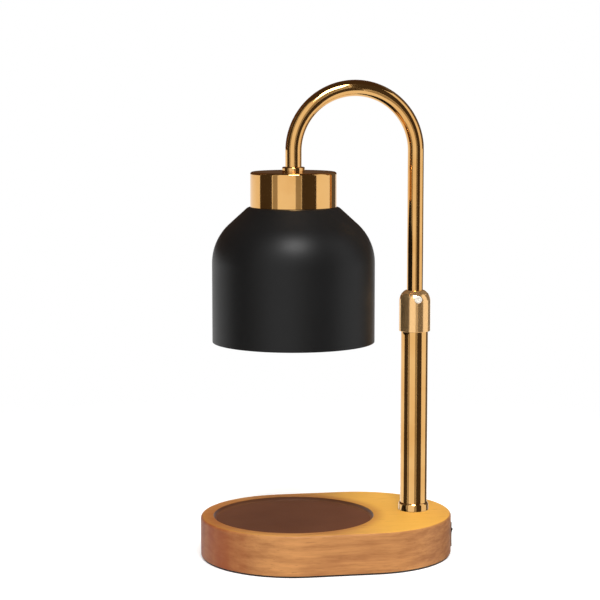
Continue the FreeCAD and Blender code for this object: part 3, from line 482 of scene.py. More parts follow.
def shade_paint():
    """Satin black paint of the shade's outside, with a faint orange peel."""
    recipe = Recipe("shade_paint")
    peel = recipe.noise(recipe.place(), 1100.0, 2.0, 0.5)
    cloud = recipe.noise(recipe.place(), 20.0, 3.0, 0.5)
    black = colours().shade
    return recipe.surface({
        "Base Color": recipe.blend(cloud, black, scaled(black, 1.35)),
        "Roughness": 0.36 + peel * 0.08 + cloud * 0.05,
        "Specular IOR Level": 0.26,
        "Normal": recipe.bump(peel, 0.12, 0.05 * MM),
    })


def shade_lining():
    """The pale heat-proof paint inside the shade."""
    recipe = Recipe("shade_lining")
    peel = recipe.noise(recipe.place(), 900.0, 2.0, 0.5)
    cloud = recipe.noise(recipe.place(), 30.0, 3.0, 0.5)
    pale = colours().shade_inside
    return recipe.surface({
        "Base Color": recipe.blend(cloud, pale, scaled(pale, 0.88)),
        "Roughness": 0.50 + peel * 0.1,
        "Normal": recipe.bump(peel, 0.15, 0.06 * MM),
    })


def black_rubber():
    """Matt black rubber with a fine grain."""
    recipe = Recipe("black_rubber")
    grain = recipe.noise(recipe.place(), 1300.0)
    dust = recipe.noise(recipe.place(), 55.0, 4.0, 0.6)
    return recipe.surface({
        "Base Color": recipe.blend(dust * 0.6, (0.012, 0.011, 0.011), (0.045, 0.043, 0.041)),
        "Roughness": 0.72 + grain * 0.16,
        "Normal": recipe.bump(grain, 0.4, 0.08 * MM),
    })


def black_plastic():
    """Spark-eroded black moulded plastic."""
    recipe = Recipe("black_plastic")
    tooth = recipe.noise(recipe.place(), 2400.0, 2.0, 0.5)
    wear = recipe.noise(recipe.place(), 90.0)
    return recipe.surface({
        "Base Color": recipe.blend(wear, (0.008, 0.006, 0.006), (0.020, 0.016, 0.015)),
        "Specular IOR Level": 0.32,
        "Roughness": 0.40 + tooth * 0.16,
        "Normal": recipe.bump(tooth, 0.2, 0.04 * MM),
    })


def bright_nickel():
    """Bright warm nickel of the lock screw."""
    recipe = Recipe("bright_nickel")
    scuff = recipe.noise(recipe.place(), 900.0)
    return recipe.surface({
        "Base Color": recipe.blend(scuff, (0.98, 0.93, 0.84), (0.93, 0.87, 0.77)),
        "Metallic": 0.15,
        "Roughness": 0.30 + scuff * 0.12,
    })


def zinc_steel():
    """Zinc-plated steel of the hidden fittings."""
    recipe = Recipe("zinc_steel")
    spangle = recipe.noise(recipe.place(), 420.0)
    return recipe.surface({
        "Base Color": recipe.blend(spangle, (0.62, 0.62, 0.60), (0.46, 0.46, 0.45)),
        "Metallic": 1.0,
        "Roughness": 0.30 + spangle * 0.15,
        "Normal": recipe.bump(spangle, 0.08, 0.05 * MM),
    })


def glazed_ceramic():
    """White steatite with a thin glaze."""
    recipe = Recipe("glazed_ceramic")
    speckle = recipe.noise(recipe.place(), 700.0)
    return recipe.surface({
        "Base Color": recipe.blend(speckle, (0.84, 0.82, 0.77), (0.74, 0.71, 0.65)),
        "Roughness": 0.22 + speckle * 0.18,
        "Normal": recipe.bump(speckle, 0.10, 0.06 * MM),
    })


def plain_nylon():
    """Undyed nylon of the bushes and the terminal block."""
    recipe = Recipe("plain_nylon")
    cloud = recipe.noise(recipe.place(), 160.0)
    return recipe.surface({
        "Base Color": recipe.blend(cloud, (0.80, 0.78, 0.70), (0.70, 0.67, 0.58)),
        "Roughness": 0.42 + cloud * 0.12,
    })


def lead_sleeve():
    """Heat-proof sleeve of the leads."""
    recipe = Recipe("lead_sleeve")
    weave = recipe.noise(recipe.place(), 1500.0)
    return recipe.surface({
        "Base Color": recipe.blend(weave, (0.72, 0.69, 0.62), (0.52, 0.49, 0.43)),
        "Roughness": 0.62 + weave * 0.2,
        "Normal": recipe.bump(weave, 0.4, 0.08 * MM),
    })


def clear_glass():
    """Clear glass of the lamp's front and capsule, with a faint haze."""
    recipe = Recipe("clear_glass")
    haze = recipe.noise(recipe.place(), 120.0)
    return recipe.surface({
        "Base Color": (0.97, 0.97, 0.95),
        "Roughness": 0.03 + haze * 0.06,
        "Transmission Weight": 1.0,
        "IOR": 1.47,
    })


def reflector_mirror():
    """The metallised inside of the reflector."""
    recipe = Recipe("reflector_mirror")
    haze = recipe.noise(recipe.place(), 260.0)
    return recipe.surface({
        "Base Color": recipe.blend(haze, (0.92, 0.90, 0.86), (0.80, 0.77, 0.72)),
        "Metallic": 1.0,
        "Roughness": 0.10 + haze * 0.10,
    })


MATERIAL_MAKERS = {
    "wood": oiled_wood,
    "liner": dish_lining,
    "black_rubber": black_rubber,
    "brass": polished_brass,
    "pale_brass": pale_brass,
    "shade_paint": shade_paint,
    "shade_lining": shade_lining,
    "bright_steel": bright_nickel,
    "steel": zinc_steel,
    "ceramic": glazed_ceramic,
    "nylon": plain_nylon,
    "black_plastic": black_plastic,
    "clear_glass": clear_glass,
    "mirror": reflector_mirror,
    "lead_sleeve": lead_sleeve,
}
# Materials already made, by finish
made_materials = {}


def finish_of(slot):
    """Return the material of a finish, made once."""
    if slot not in made_materials:
        made_materials[slot] = MATERIAL_MAKERS[slot]()
    return made_materials[slot]


def object_from(name, mesh):
    """Turn a bmesh into an object of the scene."""
    data = bpy.data.meshes.new(name)
    mesh.to_mesh(data)
    mesh.free()
    item = bpy.data.objects.new(name, data)
    bpy.context.scene.collection.objects.link(item)
    return item


def shade_smoothly(data, sharp_angle=SHARP_ANGLE):
    """Shade a mesh smoothly, apart from its sharp edges."""
    data.shade_smooth()
    data.set_sharp_from_angle(angle=sharp_angle)


def finish_piece(name, mesh, slot, body, replaced=()):
    """Turn a bmesh into a piece that rides on a body and stands for CAD nodes."""
    bmesh.ops.remove_doubles(mesh, verts=mesh.verts, dist=SAME_POINT)
    bmesh.ops.recalc_face_normals(mesh, faces=mesh.faces)
    piece = object_from(name, mesh)
    piece.data.materials.append(finish_of(slot))
    shade_smoothly(piece.data)
    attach(piece, body)
    if replaced:
        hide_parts(*replaced)
    even = piece.modifiers.new("even_normals", "WEIGHTED_NORMAL")
    even.keep_sharp = True
    even.weight = 100
    return piece


def of_kind(made, kind):
    """Return the vertices or the edges among what an operator made."""
    return [item for item in made if isinstance(item, kind)]


def spin_outline(mesh, outline, centre=(0.0, 0.0), steps=ROUND_STEPS, closed=True):
    """Round the corners of an outline of (radius, height, rounding) and turn it round an upright axis."""
    verts = [mesh.verts.new((radius, 0.0, height)) for radius, height, _ in outline]
    pairs = list(zip(verts, verts[1:]))
    if closed:
        pairs.append((verts[-1], verts[0]))
    for pair in pairs:
        mesh.edges.new(pair)
    for vert, (_, _, rounding) in zip(verts, outline):
        if rounding > 0.0:
            bmesh.ops.bevel(mesh, geom=[vert], offset=rounding, offset_type="OFFSET",
                            segments=CORNER_STEPS, profile=0.5, affect="VERTICES", material=-1)
    bmesh.ops.spin(mesh, geom=mesh.verts[:] + mesh.edges[:], cent=(0, 0, 0), axis=(0, 0, 1),
                   dvec=(0, 0, 0), angle=TURN, steps=steps, use_merge=True)
    bmesh.ops.translate(mesh, verts=mesh.verts, vec=(*centre, 0.0))


def turned_piece(name, outline, slot, body, centre=(0.0, 0.0), replaced=(), steps=ROUND_STEPS,
                 closed=True):
    """Make a turned piece."""
    mesh = bmesh.new()
    spin_outline(mesh, outline, centre, steps, closed)
    return finish_piece(name, mesh, slot, body, replaced)


def arc_points(first, last, radius, steps):
    """Return points on an arc that rises from one (radius, height) to another and bulges outwards."""
    start = Vector(first)
    chord = Vector(last) - start
    side = Vector((-chord.y, chord.x)).normalized()
    centre = start + chord / 2 + side * math.sqrt(radius ** 2 - (chord.length / 2) ** 2)
    first_angle = math.atan2(first[1] - centre.y, first[0] - centre.x)
    last_angle = math.atan2(last[1] - centre.y, last[0] - centre.x)
    angles = [first_angle + (last_angle - first_angle) * step / steps for step in range(steps + 1)]
    return [(centre.x + radius * math.cos(angle), centre.y + radius * math.sin(angle)) for angle in angles]


def base_outline(mesh, height):
    """Make a filled face with the outline of the base."""
    made = bmesh.ops.create_circle(mesh, cap_ends=True, radius=BASE_END_RADIUS,
                                   segments=ROUND_STEPS)["verts"]
    half_step = Matrix.Rotation(math.pi / ROUND_STEPS, 4, "Z")
    bmesh.ops.transform(mesh, matrix=half_step, verts=made)
    bmesh.ops.translate(mesh, verts=made, vec=(0.0, 0.0, height))
    right = [vert for vert in made if vert.co.x > 0.0]
    bmesh.ops.translate(mesh, verts=right, vec=(BASE_CENTRE_GAP, 0.0, 0.0))
    return made[0].link_faces[0]


def level_edges(mesh, height):
    """Return the edges that lie at one height."""
    return [edge for edge in mesh.edges
            if all(abs(vert.co.z - height) < LOOSE_POINT for vert in edge.verts)]


def cut_with(piece, cutter_mesh):
    """Cut a bmesh's solid out of a piece, before its normals are evened."""
    bmesh.ops.recalc_face_normals(cutter_mesh, faces=cutter_mesh.faces)
    cutter = object_from("cutter", cutter_mesh)
    even = piece.modifiers["even_normals"]
    even.show_viewport = False
    modifier = piece.modifiers.new("cut", "BOOLEAN")
    modifier.operation = "DIFFERENCE"
    modifier.solver = "EXACT"
    modifier.object = cutter
    bpy.context.view_layer.update()
    result = bpy.data.meshes.new_from_object(piece.evaluated_get(bpy.context.evaluated_depsgraph_get()))
    piece.modifiers.remove(modifier)
    piece.data = result
    even.show_viewport = True
    bpy.data.objects.remove(cutter)
    shade_smoothly(result)


def drill_along_y(piece, centre, radius, first, last):
    """Drill a round hole along Y through a piece."""
    cutter = bmesh.new()
    place = (Matrix.Translation((centre.x, (first + last) / 2, centre.z))
             @ Matrix.Rotation(math.pi / 2, 4, "X"))
    bmesh.ops.create_cone(cutter, cap_ends=True, segments=SMALL_STEPS, radius1=radius, radius2=radius,
                          depth=last - first, matrix=place)
    cut_with(piece, cutter)


def dish_cutter(size):
    """Return the dish as a turned solid with a coved floor and a rounded lip."""
    lip = size.dish_lip
    floor = WOOD_TOP - size.dish_depth
    over = WOOD_TOP + size.dish_depth
    outline = [(0.0, floor, 0.0), (size.dish_radius, floor, size.dish_cove)]
    for step in range(CORNER_STEPS + 1):
        angle = math.pi / 2 * step / CORNER_STEPS
        outline.append((size.dish_radius + lip * (1 - math.cos(angle)),
                        WOOD_TOP - lip * (1 - math.sin(angle)), 0.0))
    outline += [(size.dish_radius + lip, over, 0.0), (0.0, over, 0.0)]
    mesh = bmesh.new()
    spin_outline(mesh, outline, closed=False)
    bmesh.ops.remove_doubles(mesh, verts=mesh.verts, dist=SAME_POINT)
    return mesh


def keep_out_of_reflections(item):
    """Hide an object in what the metal mirrors, so that the bands run straight to the foot."""
    item.visible_glossy = False


def make_wooden_base():
    """The wooden base: an oblong block with a coved dish, a cord hole and a switch slot."""
    size = sizes()
    cord_hole = 4.35 * MM
    drill_reach = 20.0 * MM
    switch_slot = (24.0 * MM, 10.6 * MM, 13.2 * MM)
    mesh = bmesh.new()
    face = base_outline(mesh, WOOD_BOTTOM)
    grown = bmesh.ops.extrude_face_region(mesh, geom=[face])["geom"]
    bmesh.ops.translate(mesh, verts=of_kind(grown, BMVert), vec=(0.0, 0.0, WOOD_TOP - WOOD_BOTTOM))
    bmesh.ops.recalc_face_normals(mesh, faces=mesh.faces)
    for height, rounding, segments in ((WOOD_BOTTOM, size.foot_round, 2), (WOOD_TOP, size.top_round, 6)):
        bmesh.ops.bevel(mesh, geom=level_edges(mesh, height), offset=rounding, offset_type="OFFSET",
                        segments=segments, profile=0.5, affect="EDGES", material=-1)
    piece = finish_piece("wooden_base", mesh, "wood", "base", ["base_body"])
    cut_with(piece, dish_cutter(size))

    drill_along_y(piece, middle("cord_bushing"), cord_hole, BASE_END_RADIUS - drill_reach,
                  BASE_END_RADIUS + drill_reach)
    slot = bmesh.new()
    bmesh.ops.create_cube(slot, size=1.0)
    bmesh.ops.scale(slot, verts=slot.verts, vec=switch_slot)
    bmesh.ops.translate(slot, verts=slot.verts,
                        vec=(high("switch_body").x, 0.0, middle("switch_body").z))
    cut_with(piece, slot)
    keep_out_of_reflections(piece)
    keep_out_of_reflections(frame["nodes"]["dish_liner"])


def make_post_and_ring():
    """The post and the ring round its foot."""
    bottom, top = levels("post")
    radius = half_width("post")
    inner = radius - 1.2 * MM
    turned_piece("post_tube", [
        (inner, bottom, 0.0),
        (radius, bottom, 0.2 * MM),
        (radius, top, 0.2 * MM),
        (inner, top, 0.0),
    ], "brass", "base", POST_AXIS, ["post"])
    bottom, top = levels("foot_ring")
    outer = half_width("foot_ring")
    inner = radius + FIT_GAP
    shoulder = 1.1 * MM
    land = 0.35 * MM
    turned_piece("post_foot_ring", [
        (inner, bottom, 0.0),
        (outer, bottom, 0.2 * MM),
        (outer, top - shoulder, 0.3 * MM),
        (inner + land, top, sizes().edge_round),
        (inner, top, 0.0),
    ], "brass", "base", POST_AXIS, ["foot_ring"])


def make_coupling():
    """The domed sleeve that joins the post and the tube."""
    bottom, top = levels("coupling")
    outer = half_width("coupling")
    bore = half_width("post") + FIT_GAP
    mouth = TUBE_RADIUS + 0.2 * MM
    land = 0.7 * MM
    dome = 7.0 * MM
    dome_radius = outer - 2.0 * MM
    web = 2.2 * MM
    curve = arc_points((outer, top - dome), (mouth + land, top), dome_radius, CURVE_STEPS)
    piece = turned_piece("domed_coupling", [
        (bore, bottom, 0.1 * MM),
        (outer, bottom, 0.3 * MM),
        *((*point, 0.0) for point in curve),
        (mouth, top, 0.15 * MM),
        (mouth, top - web, 0.0),
        (bore, top - web, 0.0),
    ], "pale_brass", "base", POST_AXIS, ["coupling"])
    screw_hole = half_width("lock_screw") + 0.1 * MM
    drill_along_y(piece, middle("lock_screw"), screw_hole, -2 * outer, high("lock_screw").y)


def make_lock_screw():
    """The small bright screw in the dome, with a shallow round socket."""
    centre = middle("lock_screw")
    radius = half_width("lock_screw")
    back = high("lock_screw").y
    length = back - low("lock_screw").y
    mouth = radius * 0.46
    socket = radius * 0.40
    socket_depth = 0.30 * MM
    mesh = bmesh.new()
    spin_outline(mesh, [
        (0.0, 0.0, 0.0),
        (radius, 0.0, 0.1 * MM),
        (radius, length, 0.55 * MM),
        (mouth, length, 0.1 * MM),
        (socket, length - 0.25 * MM, 0.1 * MM),
        (0.0, length - socket_depth, 0.0),
    ], steps=SMALL_STEPS, closed=False)
    place = Matrix.Translation((centre.x, back, centre.z)) @ Matrix.Rotation(math.pi / 2, 4, "X")
    bmesh.ops.transform(mesh, matrix=place, verts=mesh.verts)
    finish_piece("lock_screw_head", mesh, "bright_steel", "lock", ["lock_screw"])


def make_gooseneck():
    """The bent tube: a disc of the tube's section drawn up, round the arch and down."""
    arch = POST_X / 2
    bottom = low("gooseneck").z
    spring = high("gooseneck").z - TUBE_RADIUS - arch
    inside_cap = high("cap").z - 9.5 * MM
    mesh = bmesh.new()
    disc = bmesh.ops.create_circle(mesh, cap_ends=True, radius=TUBE_RADIUS, segments=PIPE_STEPS)["verts"]
    bmesh.ops.translate(mesh, verts=disc, vec=(POST_X, 0.0, bottom))

    def draw_up(edges, rise):
        made = bmesh.ops.extrude_edge_only(mesh, edges=edges)["geom"]
        bmesh.ops.translate(mesh, verts=of_kind(made, BMVert), vec=(0.0, 0.0, rise))
        return [edge for edge in of_kind(made, BMEdge) if edge.is_boundary]

    ring = draw_up(mesh.edges[:], spring - bottom)
    spun = bmesh.ops.spin(mesh, geom=ring + list({vert for edge in ring for vert in edge.verts}),
                          cent=(arch, 0.0, spring), axis=(0, -1, 0), dvec=(0, 0, 0), angle=TURN / 2,
                          steps=ARCH_STEPS, use_merge=False)["geom_last"]
    last = draw_up(of_kind(spun, BMEdge), inside_cap - spring)
    bmesh.ops.edgeloop_fill(mesh, edges=last)
    finish_piece("bent_tube", mesh, "brass", "arm", ["gooseneck"])


def make_cap_and_collar():
    """The brass drum over the lamp holder and the collar on it."""
    wall = 1.0 * MM
    bore = TUBE_RADIUS + FIT_GAP
    bottom, top = levels("cap")
    outer = half_depth("cap")
    turned_piece("brass_cap", [
        (outer - wall, bottom, 0.15 * MM),
        (outer, bottom, 0.25 * MM),
        (outer, top, 1.5 * MM),
        (bore, top, 0.0),
        (bore, top - wall, 0.0),
        (outer - wall, top - wall, 0.8 * MM),
    ], "brass", "arm", replaced=["cap"])
    bottom, top = levels("collar")
    outer = half_depth("collar")
    land = 0.5 * MM
    turned_piece("cap_collar", [
        (bore, bottom, 0.0),
        (outer, bottom, 0.15 * MM),
        (outer, top - 0.2 * MM, 0.7 * MM),
        (bore + land, top, 0.2 * MM),
        (bore, top - 0.1 * MM, 0.0),
    ], "brass", "arm", replaced=["collar"])


def shade_curve(offset):
    """Return the shade's outline from the rim to the neck, moved inwards by an offset."""
    top = high("shade").z
    outer = half_depth("shade")
    bend = 32.1 * MM
    neck = 27.9 * MM
    slope = math.radians(42.3)
    steps = 22
    centre = outer - bend
    knee = centre + bend * math.sin(slope)
    level = top - (knee - neck) * math.tan(slope) - bend * math.cos(slope)
    radius = bend - offset
    points = [(outer - offset, low("shade").z)]
    for step in range(steps + 1):
        angle = (math.pi / 2 - slope) * step / steps
        points.append((centre + radius * math.cos(angle), level + radius * math.sin(angle)))
    last_radius, last_height = points[-1]
    end = top - offset
    points.append((last_radius - (end - last_height) / math.tan(slope), end))
    return points


def make_shade():
    """The bell shade: black paint outside and a pale lining inside, meeting at a rolled rim."""
    wall = sizes().shade_wall
    hole = 15.5 * MM
    neck_round = 1.2 * MM
    rim_round = 0.25 * MM
    outer, between, inner = (shade_curve(offset) for offset in (0.0, wall / 2, wall))

    def shell(first, second, first_round):
        return [
            (*first[0], first_round),
            *((*point, 0.0) for point in first[1:-1]),
            (*first[-1], neck_round),
            (hole, first[-1][1], 0.0),
            (hole, second[-1][1], 0.0),
            (*second[-1], neck_round),
            *((*point, 0.0) for point in reversed(second[:-1])),
        ]

    turned_piece("shade_outside", shell(outer, between, rim_round), "shade_paint", "arm",
                 replaced=["shade"], steps=SHADE_STEPS)
    turned_piece("shade_inside", shell(between, inner, 0.0), "shade_lining", "arm", steps=SHADE_STEPS)


def make_reflector():
    """The lamp's reflector and its glass front."""
    bottom, top = levels("lamp_reflector")
    outer = half_depth("lamp_reflector")
    rim = 5.0 * MM
    neck = 14.0 * MM
    wall = 1.6 * MM
    flare = 48.0 * MM
    flank = arc_points((outer, bottom + rim), (neck, top), flare, CURVE_STEPS)
    turned_piece("lamp_shell", [
        (outer - wall, bottom, 0.3 * MM),
        (outer, bottom, 0.3 * MM),
        *((*point, 0.0) for point in flank),
        *((radius - wall, height, 0.0) for radius, height in reversed(flank)),
    ], "mirror", "arm", replaced=["lamp_reflector"], steps=LAMP_STEPS)
    bottom, top = levels("lamp_lens")
    outer = half_depth("lamp_lens")
    flat = outer * 0.86
    turned_piece("lamp_front", [
        (0.0, bottom, 0.0),
        (flat, bottom, 0.8 * MM),
        (outer, bottom + 0.9 * MM, 0.3 * MM),
        (outer, top, 0.3 * MM),
        (0.0, top, 0.0),
    ], "clear_glass", "arm", replaced=["lamp_lens"], closed=False, steps=LAMP_STEPS)


def make_moulded(node, name, slot, body):
    """Round the edges of a merged copy of a moulded CAD node."""
    mesh = bmesh.new()
    mesh.from_mesh(frame["nodes"][node].data)
    bmesh.ops.remove_doubles(mesh, verts=mesh.verts, dist=LOOSE_POINT)
    bmesh.ops.dissolve_limit(mesh, angle_limit=math.radians(1.0), verts=mesh.verts, edges=mesh.edges)
    piece = finish_piece(name, mesh, slot, body, [node])
    soften = piece.modifiers.new("soft_edges", "BEVEL")
    soften.limit_method = "ANGLE"
    soften.angle_limit = math.radians(40.0)
    soften.width = sizes().moulded_round
    soften.segments = 3
    piece.modifiers.move(len(piece.modifiers) - 1, 0)


def dress_nodes():
    """Give every CAD node its finish and smooth shading."""
    for entry in frame["record"]["subparts"]:
        data = frame["nodes"][entry["node"]].data
        data.materials.clear()
        data.materials.append(finish_of(entry["material_slot"]))
        shade_smoothly(data, NODE_SHARP_ANGLE)


def stage_object(name, mesh, material):
    """Make a smooth-shaded object of the studio with one material out of a bmesh."""
    item = object_from(name, mesh)
    item.data.materials.append(material)
    item.data.shade_smooth()
    return item


# The floor's extra light for the camera, and the distances between which the floor fades out
FLOOR_LIFT = 0.30
FLOOR_FADE = (0.20, 0.60)
FLOOR_RADIUS = 14.0
FLOOR_STEPS = 96


def floor_paint():
    """Pale matt floor, lifted for the camera, that fades out round the lamp and is clear from below."""
    recipe = Recipe("floor_paint")
    pale = colours().floor
    cloud = recipe.noise(recipe.place(), 3.0, 3.0, 0.5)
    tone = recipe.blend(cloud, pale, scaled(pale, 0.985))
    matt = recipe.add("ShaderNodeBsdfDiffuse", {}, {"Color": tone})
    glow = recipe.add("ShaderNodeEmission", {}, {"Color": WHITE, "Strength": FLOOR_LIFT})
    seen = recipe.add("ShaderNodeLightPath", output="Is Camera Ray")
    lift = recipe.add("ShaderNodeMixShader", {}, {0: seen, 2: glow})
    lit = recipe.add("ShaderNodeAddShader", {}, {0: matt, 1: lift})
    clear = recipe.add("ShaderNodeBsdfTransparent")
    below = recipe.add("ShaderNodeNewGeometry", output="Backfacing")
    away = recipe.length(recipe.place())
    hidden = (recipe.span(away, *FLOOR_FADE) + below).clamped()
    return recipe.finish(recipe.add("ShaderNodeMixShader", {}, {0: hidden, 1: lit, 2: clear}))


def card_paint(glow):
    """A card that glossy surfaces show as a dark band, a little uneven like a real one."""
    recipe = Recipe("studio_card")
    cloud = recipe.noise(recipe.place(), 1.5, 2.0, 0.5)
    tone = recipe.blend(cloud, glow, scaled(glow, 0.8))
    return recipe.finish(recipe.add("ShaderNodeEmission", {}, {"Color": tone, "Strength": 1.0}))


def make_floor():
    """The floor: a wide round sheet."""
    mesh = bmesh.new()
    bmesh.ops.create_circle(mesh, cap_ends=True, radius=FLOOR_RADIUS, segments=FLOOR_STEPS)
    keep_out_of_reflections(stage_object("studio_floor", mesh, floor_paint()))


# The cards: first and last angle from the camera's direction in degrees, foot, top and glow
DARK_CARD = (0.070, 0.055, 0.040)
GREY_CARD = (0.42, 0.39, 0.34)
PALE_CARD = (0.14, 0.13, 0.12)
WARM_CARD = (0.11, 0.060, 0.032)
CEILING_CARD = (0.065, 0.044, 0.030)
CARDS = (
    (-99.0, -58.0, -0.9, 2.4, DARK_CARD),
    (-56.0, -42.0, -0.9, 2.4, GREY_CARD),
    (6.0, 21.0, -0.9, 2.4, GREY_CARD),
    (22.0, 63.0, -0.9, 2.4, DARK_CARD),
    (112.0, 150.0, -0.9, 2.4, PALE_CARD),
    (100.0, 260.0, 0.22, 2.2, WARM_CARD),
)
CARD_RADIUS = 1.6
CARD_SPACING = 0.05
CARD_STEPS = 12
CEILING_RADIUS = 2.0
CEILING_HEIGHT = 2.3


def hide_but_in_reflections(card):
    """Let only reflections show a card."""
    card.visible_camera = False
    card.visible_diffuse = False
    card.visible_shadow = False
    card.visible_transmission = False


def make_cards():
    """Curved cards and a ceiling, seen only in reflections, that give the metal its dark bands."""
    facing = -math.pi / 2 - studio_settings().turn
    for index, (first, last, foot, top, glow) in enumerate(CARDS):
        mesh = bmesh.new()
        start = facing + math.radians(first)
        away = CARD_RADIUS + CARD_SPACING * index
        vert = mesh.verts.new((away * math.cos(start), away * math.sin(start), foot))
        bmesh.ops.spin(mesh, geom=[vert], cent=(0, 0, 0), axis=(0, 0, 1), dvec=(0, 0, 0),
                       angle=math.radians(last - first), steps=CARD_STEPS)
        grown = bmesh.ops.extrude_edge_only(mesh, edges=mesh.edges[:])["geom"]
        bmesh.ops.translate(mesh, verts=of_kind(grown, BMVert), vec=(0.0, 0.0, top - foot))
        hide_but_in_reflections(stage_object(f"studio_card_{index}", mesh, card_paint(glow)))
    mesh = bmesh.new()
    bmesh.ops.create_circle(mesh, cap_ends=True, radius=CEILING_RADIUS, segments=SMALL_STEPS,
                            matrix=Matrix.Translation((0.0, 0.0, CEILING_HEIGHT)))
    hide_but_in_reflections(stage_object("studio_ceiling", mesh, card_paint(CEILING_CARD)))


# Colours of the light, the lights' places in the frame that faces the camera, and their target
EVEN_LIGHT = (0.8, 0.8, 0.8)
WARM_LIGHT = (1.0, 0.95, 0.87)
KEY_PLACE = (0.05, -1.2, 1.5)
FILL_PLACE = (1.1, -0.9, 0.9)
TOP_PLACE = (0.15, 0.15, 1.5)
LIGHT_TARGET = (0.03, 0.0, 0.12)


def from_camera_side(place):
    """Return a place of the frame that faces the camera, in the frame of the CAD."""
    return Matrix.Rotation(-studio_settings().turn, 4, "Z") @ Vector(place)


def add_softbox(name, place, side, power, tint=WHITE):
    """Add a square soft light that looks at the lamp."""
    light = bpy.data.lights.new(name, "AREA")
    light.shape = "SQUARE"
    light.size = side
    light.energy = power
    light.color = tint
    item = bpy.data.objects.new(name, light)
    item.location = from_camera_side(place)
    item.rotation_euler = (Vector(LIGHT_TARGET) - item.location).to_track_quat("-Z", "Y").to_euler()
    bpy.context.scene.collection.objects.link(item)
    return item


def make_world():
    """White for the camera, reflections and glass, and a lower even light for the rest."""
    tree = NodeTree(bpy.data.worlds.new("studio_world"), "ShaderNodeOutputWorld")
    camera, glossy, glass = (tree.add("ShaderNodeLightPath", output=f"Is {ray} Ray")
                             for ray in ("Camera", "Glossy", "Transmission"))
    even = tree.add("ShaderNodeBackground", {}, {
        "Color": EVEN_LIGHT, "Strength": studio_settings().world_level})
    white = tree.add("ShaderNodeBackground", {}, {"Color": WHITE, "Strength": 1.0})
    seen = (camera + glossy + glass).clamped()
    bpy.context.scene.world = tree.finish(
        tree.add("ShaderNodeMixShader", {}, {0: seen, 1: even, 2: white}))


def make_camera():
    """The camera, placed as it stood to the object in the photograph."""
    sensor = 36.0
    picture_width = 600.0
    studio = studio_settings()
    data = bpy.data.cameras.new("studio_camera")
    data.sensor_width = sensor
    data.lens = sensor * studio.focal_pixels / picture_width
    data.clip_start = 0.05
    data.clip_end = 60.0
    camera = bpy.data.objects.new("studio_camera", data)
    ahead = from_camera_side((0.0, math.cos(studio.pitch), -math.sin(studio.pitch)))
    camera.location = from_camera_side((studio.sideways, -studio.distance, studio.height))
    camera.rotation_euler = ahead.to_track_quat("-Z", "Y").to_euler()
    bpy.context.scene.collection.objects.link(camera)
    bpy.context.scene.camera = camera


def make_studio():
    """Set up the floor, the cards, the lights, the world and the camera."""
    studio = studio_settings()
    bpy.context.scene.view_settings.view_transform = "Standard"
    make_world()
    make_floor()
    make_cards()
    add_softbox("key_light", KEY_PLACE, 0.7, studio.key_power)
    keep_out_of_reflections(add_softbox("fill_light", FILL_PLACE, 0.8, studio.fill_power))
    keep_out_of_reflections(add_softbox("top_light", TOP_PLACE, 0.9, studio.top_power, WARM_LIGHT))
    make_camera()


class LAMP_OT_base(bpy.types.Operator):
    """Make the wooden base with its dish"""

    bl_idname = "lamp.base"
    bl_label = "Wooden base"

    def execute(self, context):
        make_wooden_base()
        return {"FINISHED"}


class LAMP_OT_post(bpy.types.Operator):
    """Make the post, its foot ring and the domed coupling"""

    bl_idname = "lamp.post"
    bl_label = "Post and coupling"

    def execute(self, context):
        make_post_and_ring()
        make_coupling()
        return {"FINISHED"}


class LAMP_OT_lock_screw(bpy.types.Operator):
    """Make the lock screw in the coupling"""

    bl_idname = "lamp.lock_screw"
    bl_label = "Lock screw"

    def execute(self, context):
        make_lock_screw()
        return {"FINISHED"}


class LAMP_OT_tube(bpy.types.Operator):
    """Make the bent tube"""

    bl_idname = "lamp.tube"
    bl_label = "Bent tube"

    def execute(self, context):
        make_gooseneck()
        return {"FINISHED"}


class LAMP_OT_cap(bpy.types.Operator):
    """Make the cap over the lamp holder and its collar"""

    bl_idname = "lamp.cap"
    bl_label = "Cap and collar"

    def execute(self, context):
        make_cap_and_collar()
        return {"FINISHED"}


class LAMP_OT_shade(bpy.types.Operator):
    """Make the bell shade, painted outside and lined inside"""

    bl_idname = "lamp.shade"
    bl_label = "Shade"

    def execute(self, context):
        make_shade()
        return {"FINISHED"}


class LAMP_OT_bulb(bpy.types.Operator):
    """Make the lamp's reflector and its glass front"""

    bl_idname = "lamp.bulb"
    bl_label = "Reflector lamp"

    def execute(self, context):
        make_reflector()
        return {"FINISHED"}


class LAMP_OT_moulded(bpy.types.Operator):
    """Make the switch, its rocker and the cord bushing"""

    bl_idname = "lamp.moulded"
    bl_label = "Switch and bushing"

    def execute(self, context):
        make_moulded("switch_body", "switch_housing", "black_plastic", "base")
        make_moulded("rocker", "switch_rocker", "black_plastic", "rocker_button")
        make_moulded("cord_bushing", "cord_sleeve", "black_rubber", "base")
        return {"FINISHED"}


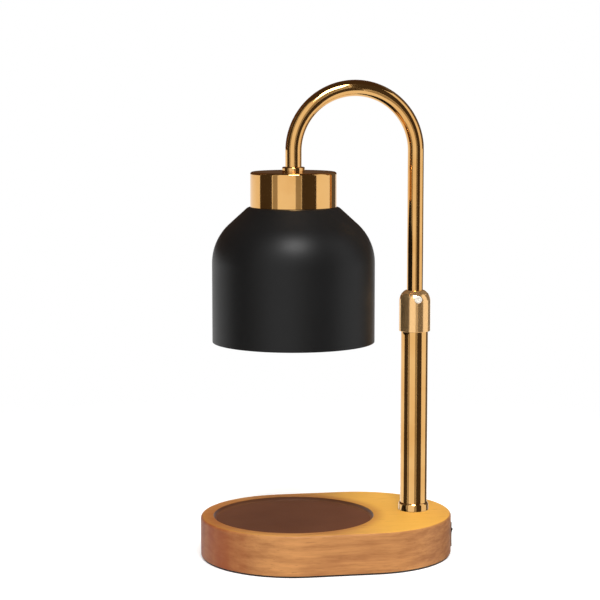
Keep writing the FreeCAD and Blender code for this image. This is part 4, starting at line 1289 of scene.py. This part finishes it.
class LAMP_OT_fittings(bpy.types.Operator):
    """Finish every piece that comes straight from the frame"""

    bl_idname = "lamp.fittings"
    bl_label = "Fittings"

    def execute(self, context):
        dress_nodes()
        return {"FINISHED"}


class LAMP_OT_studio(bpy.types.Operator):
    """Set up the floor, the light and the camera"""

    bl_idname = "lamp.studio"
    bl_label = "Studio"

    def execute(self, context):
        make_studio()
        return {"FINISHED"}


class LAMP_PT_panel(bpy.types.Panel):
    """Sizes, colours and build steps of the warmer lamp"""

    bl_idname = "LAMP_PT_panel"
    bl_label = "Warmer lamp"
    bl_space_type = "VIEW_3D"
    bl_region_type = "UI"
    bl_category = "Lamp"

    def draw(self, context):
        for name in SETTING_GROUPS:
            group = getattr(context.scene, name)
            column = self.layout.column(align=True)
            for key in group.bl_rna.properties.keys():
                if key not in ("rna_type", "name"):
                    column.prop(group, key)
        for step in BUILD_STEPS:
            self.layout.operator(step.bl_idname)


BUILD_STEPS = (
    LAMP_OT_base,
    LAMP_OT_post,
    LAMP_OT_lock_screw,
    LAMP_OT_tube,
    LAMP_OT_cap,
    LAMP_OT_shade,
    LAMP_OT_bulb,
    LAMP_OT_moulded,
    LAMP_OT_fittings,
    LAMP_OT_studio,
)
SETTING_GROUPS = {"lamp_sizes": LampSizes, "lamp_colours": LampColours, "lamp_studio": StudioSettings}


def register():
    """Register the settings, the operators and the panel."""
    for name, group in SETTING_GROUPS.items():
        bpy.utils.register_class(group)
        setattr(bpy.types.Scene, name, bpy.props.PointerProperty(type=group))
    for step in BUILD_STEPS:
        bpy.utils.register_class(step)
    bpy.utils.register_class(LAMP_PT_panel)


def unregister():
    """Take away what register added."""
    bpy.utils.unregister_class(LAMP_PT_panel)
    for step in reversed(BUILD_STEPS):
        bpy.utils.unregister_class(step)
    for name, group in SETTING_GROUPS.items():
        delattr(bpy.types.Scene, name)
        bpy.utils.unregister_class(group)


def main():
    """Build everything in order."""
    register()
    for step in BUILD_STEPS:
        family, name = step.bl_idname.split(".")
        getattr(getattr(bpy.ops, family), name)()


if __name__ == "__main__":
    main()
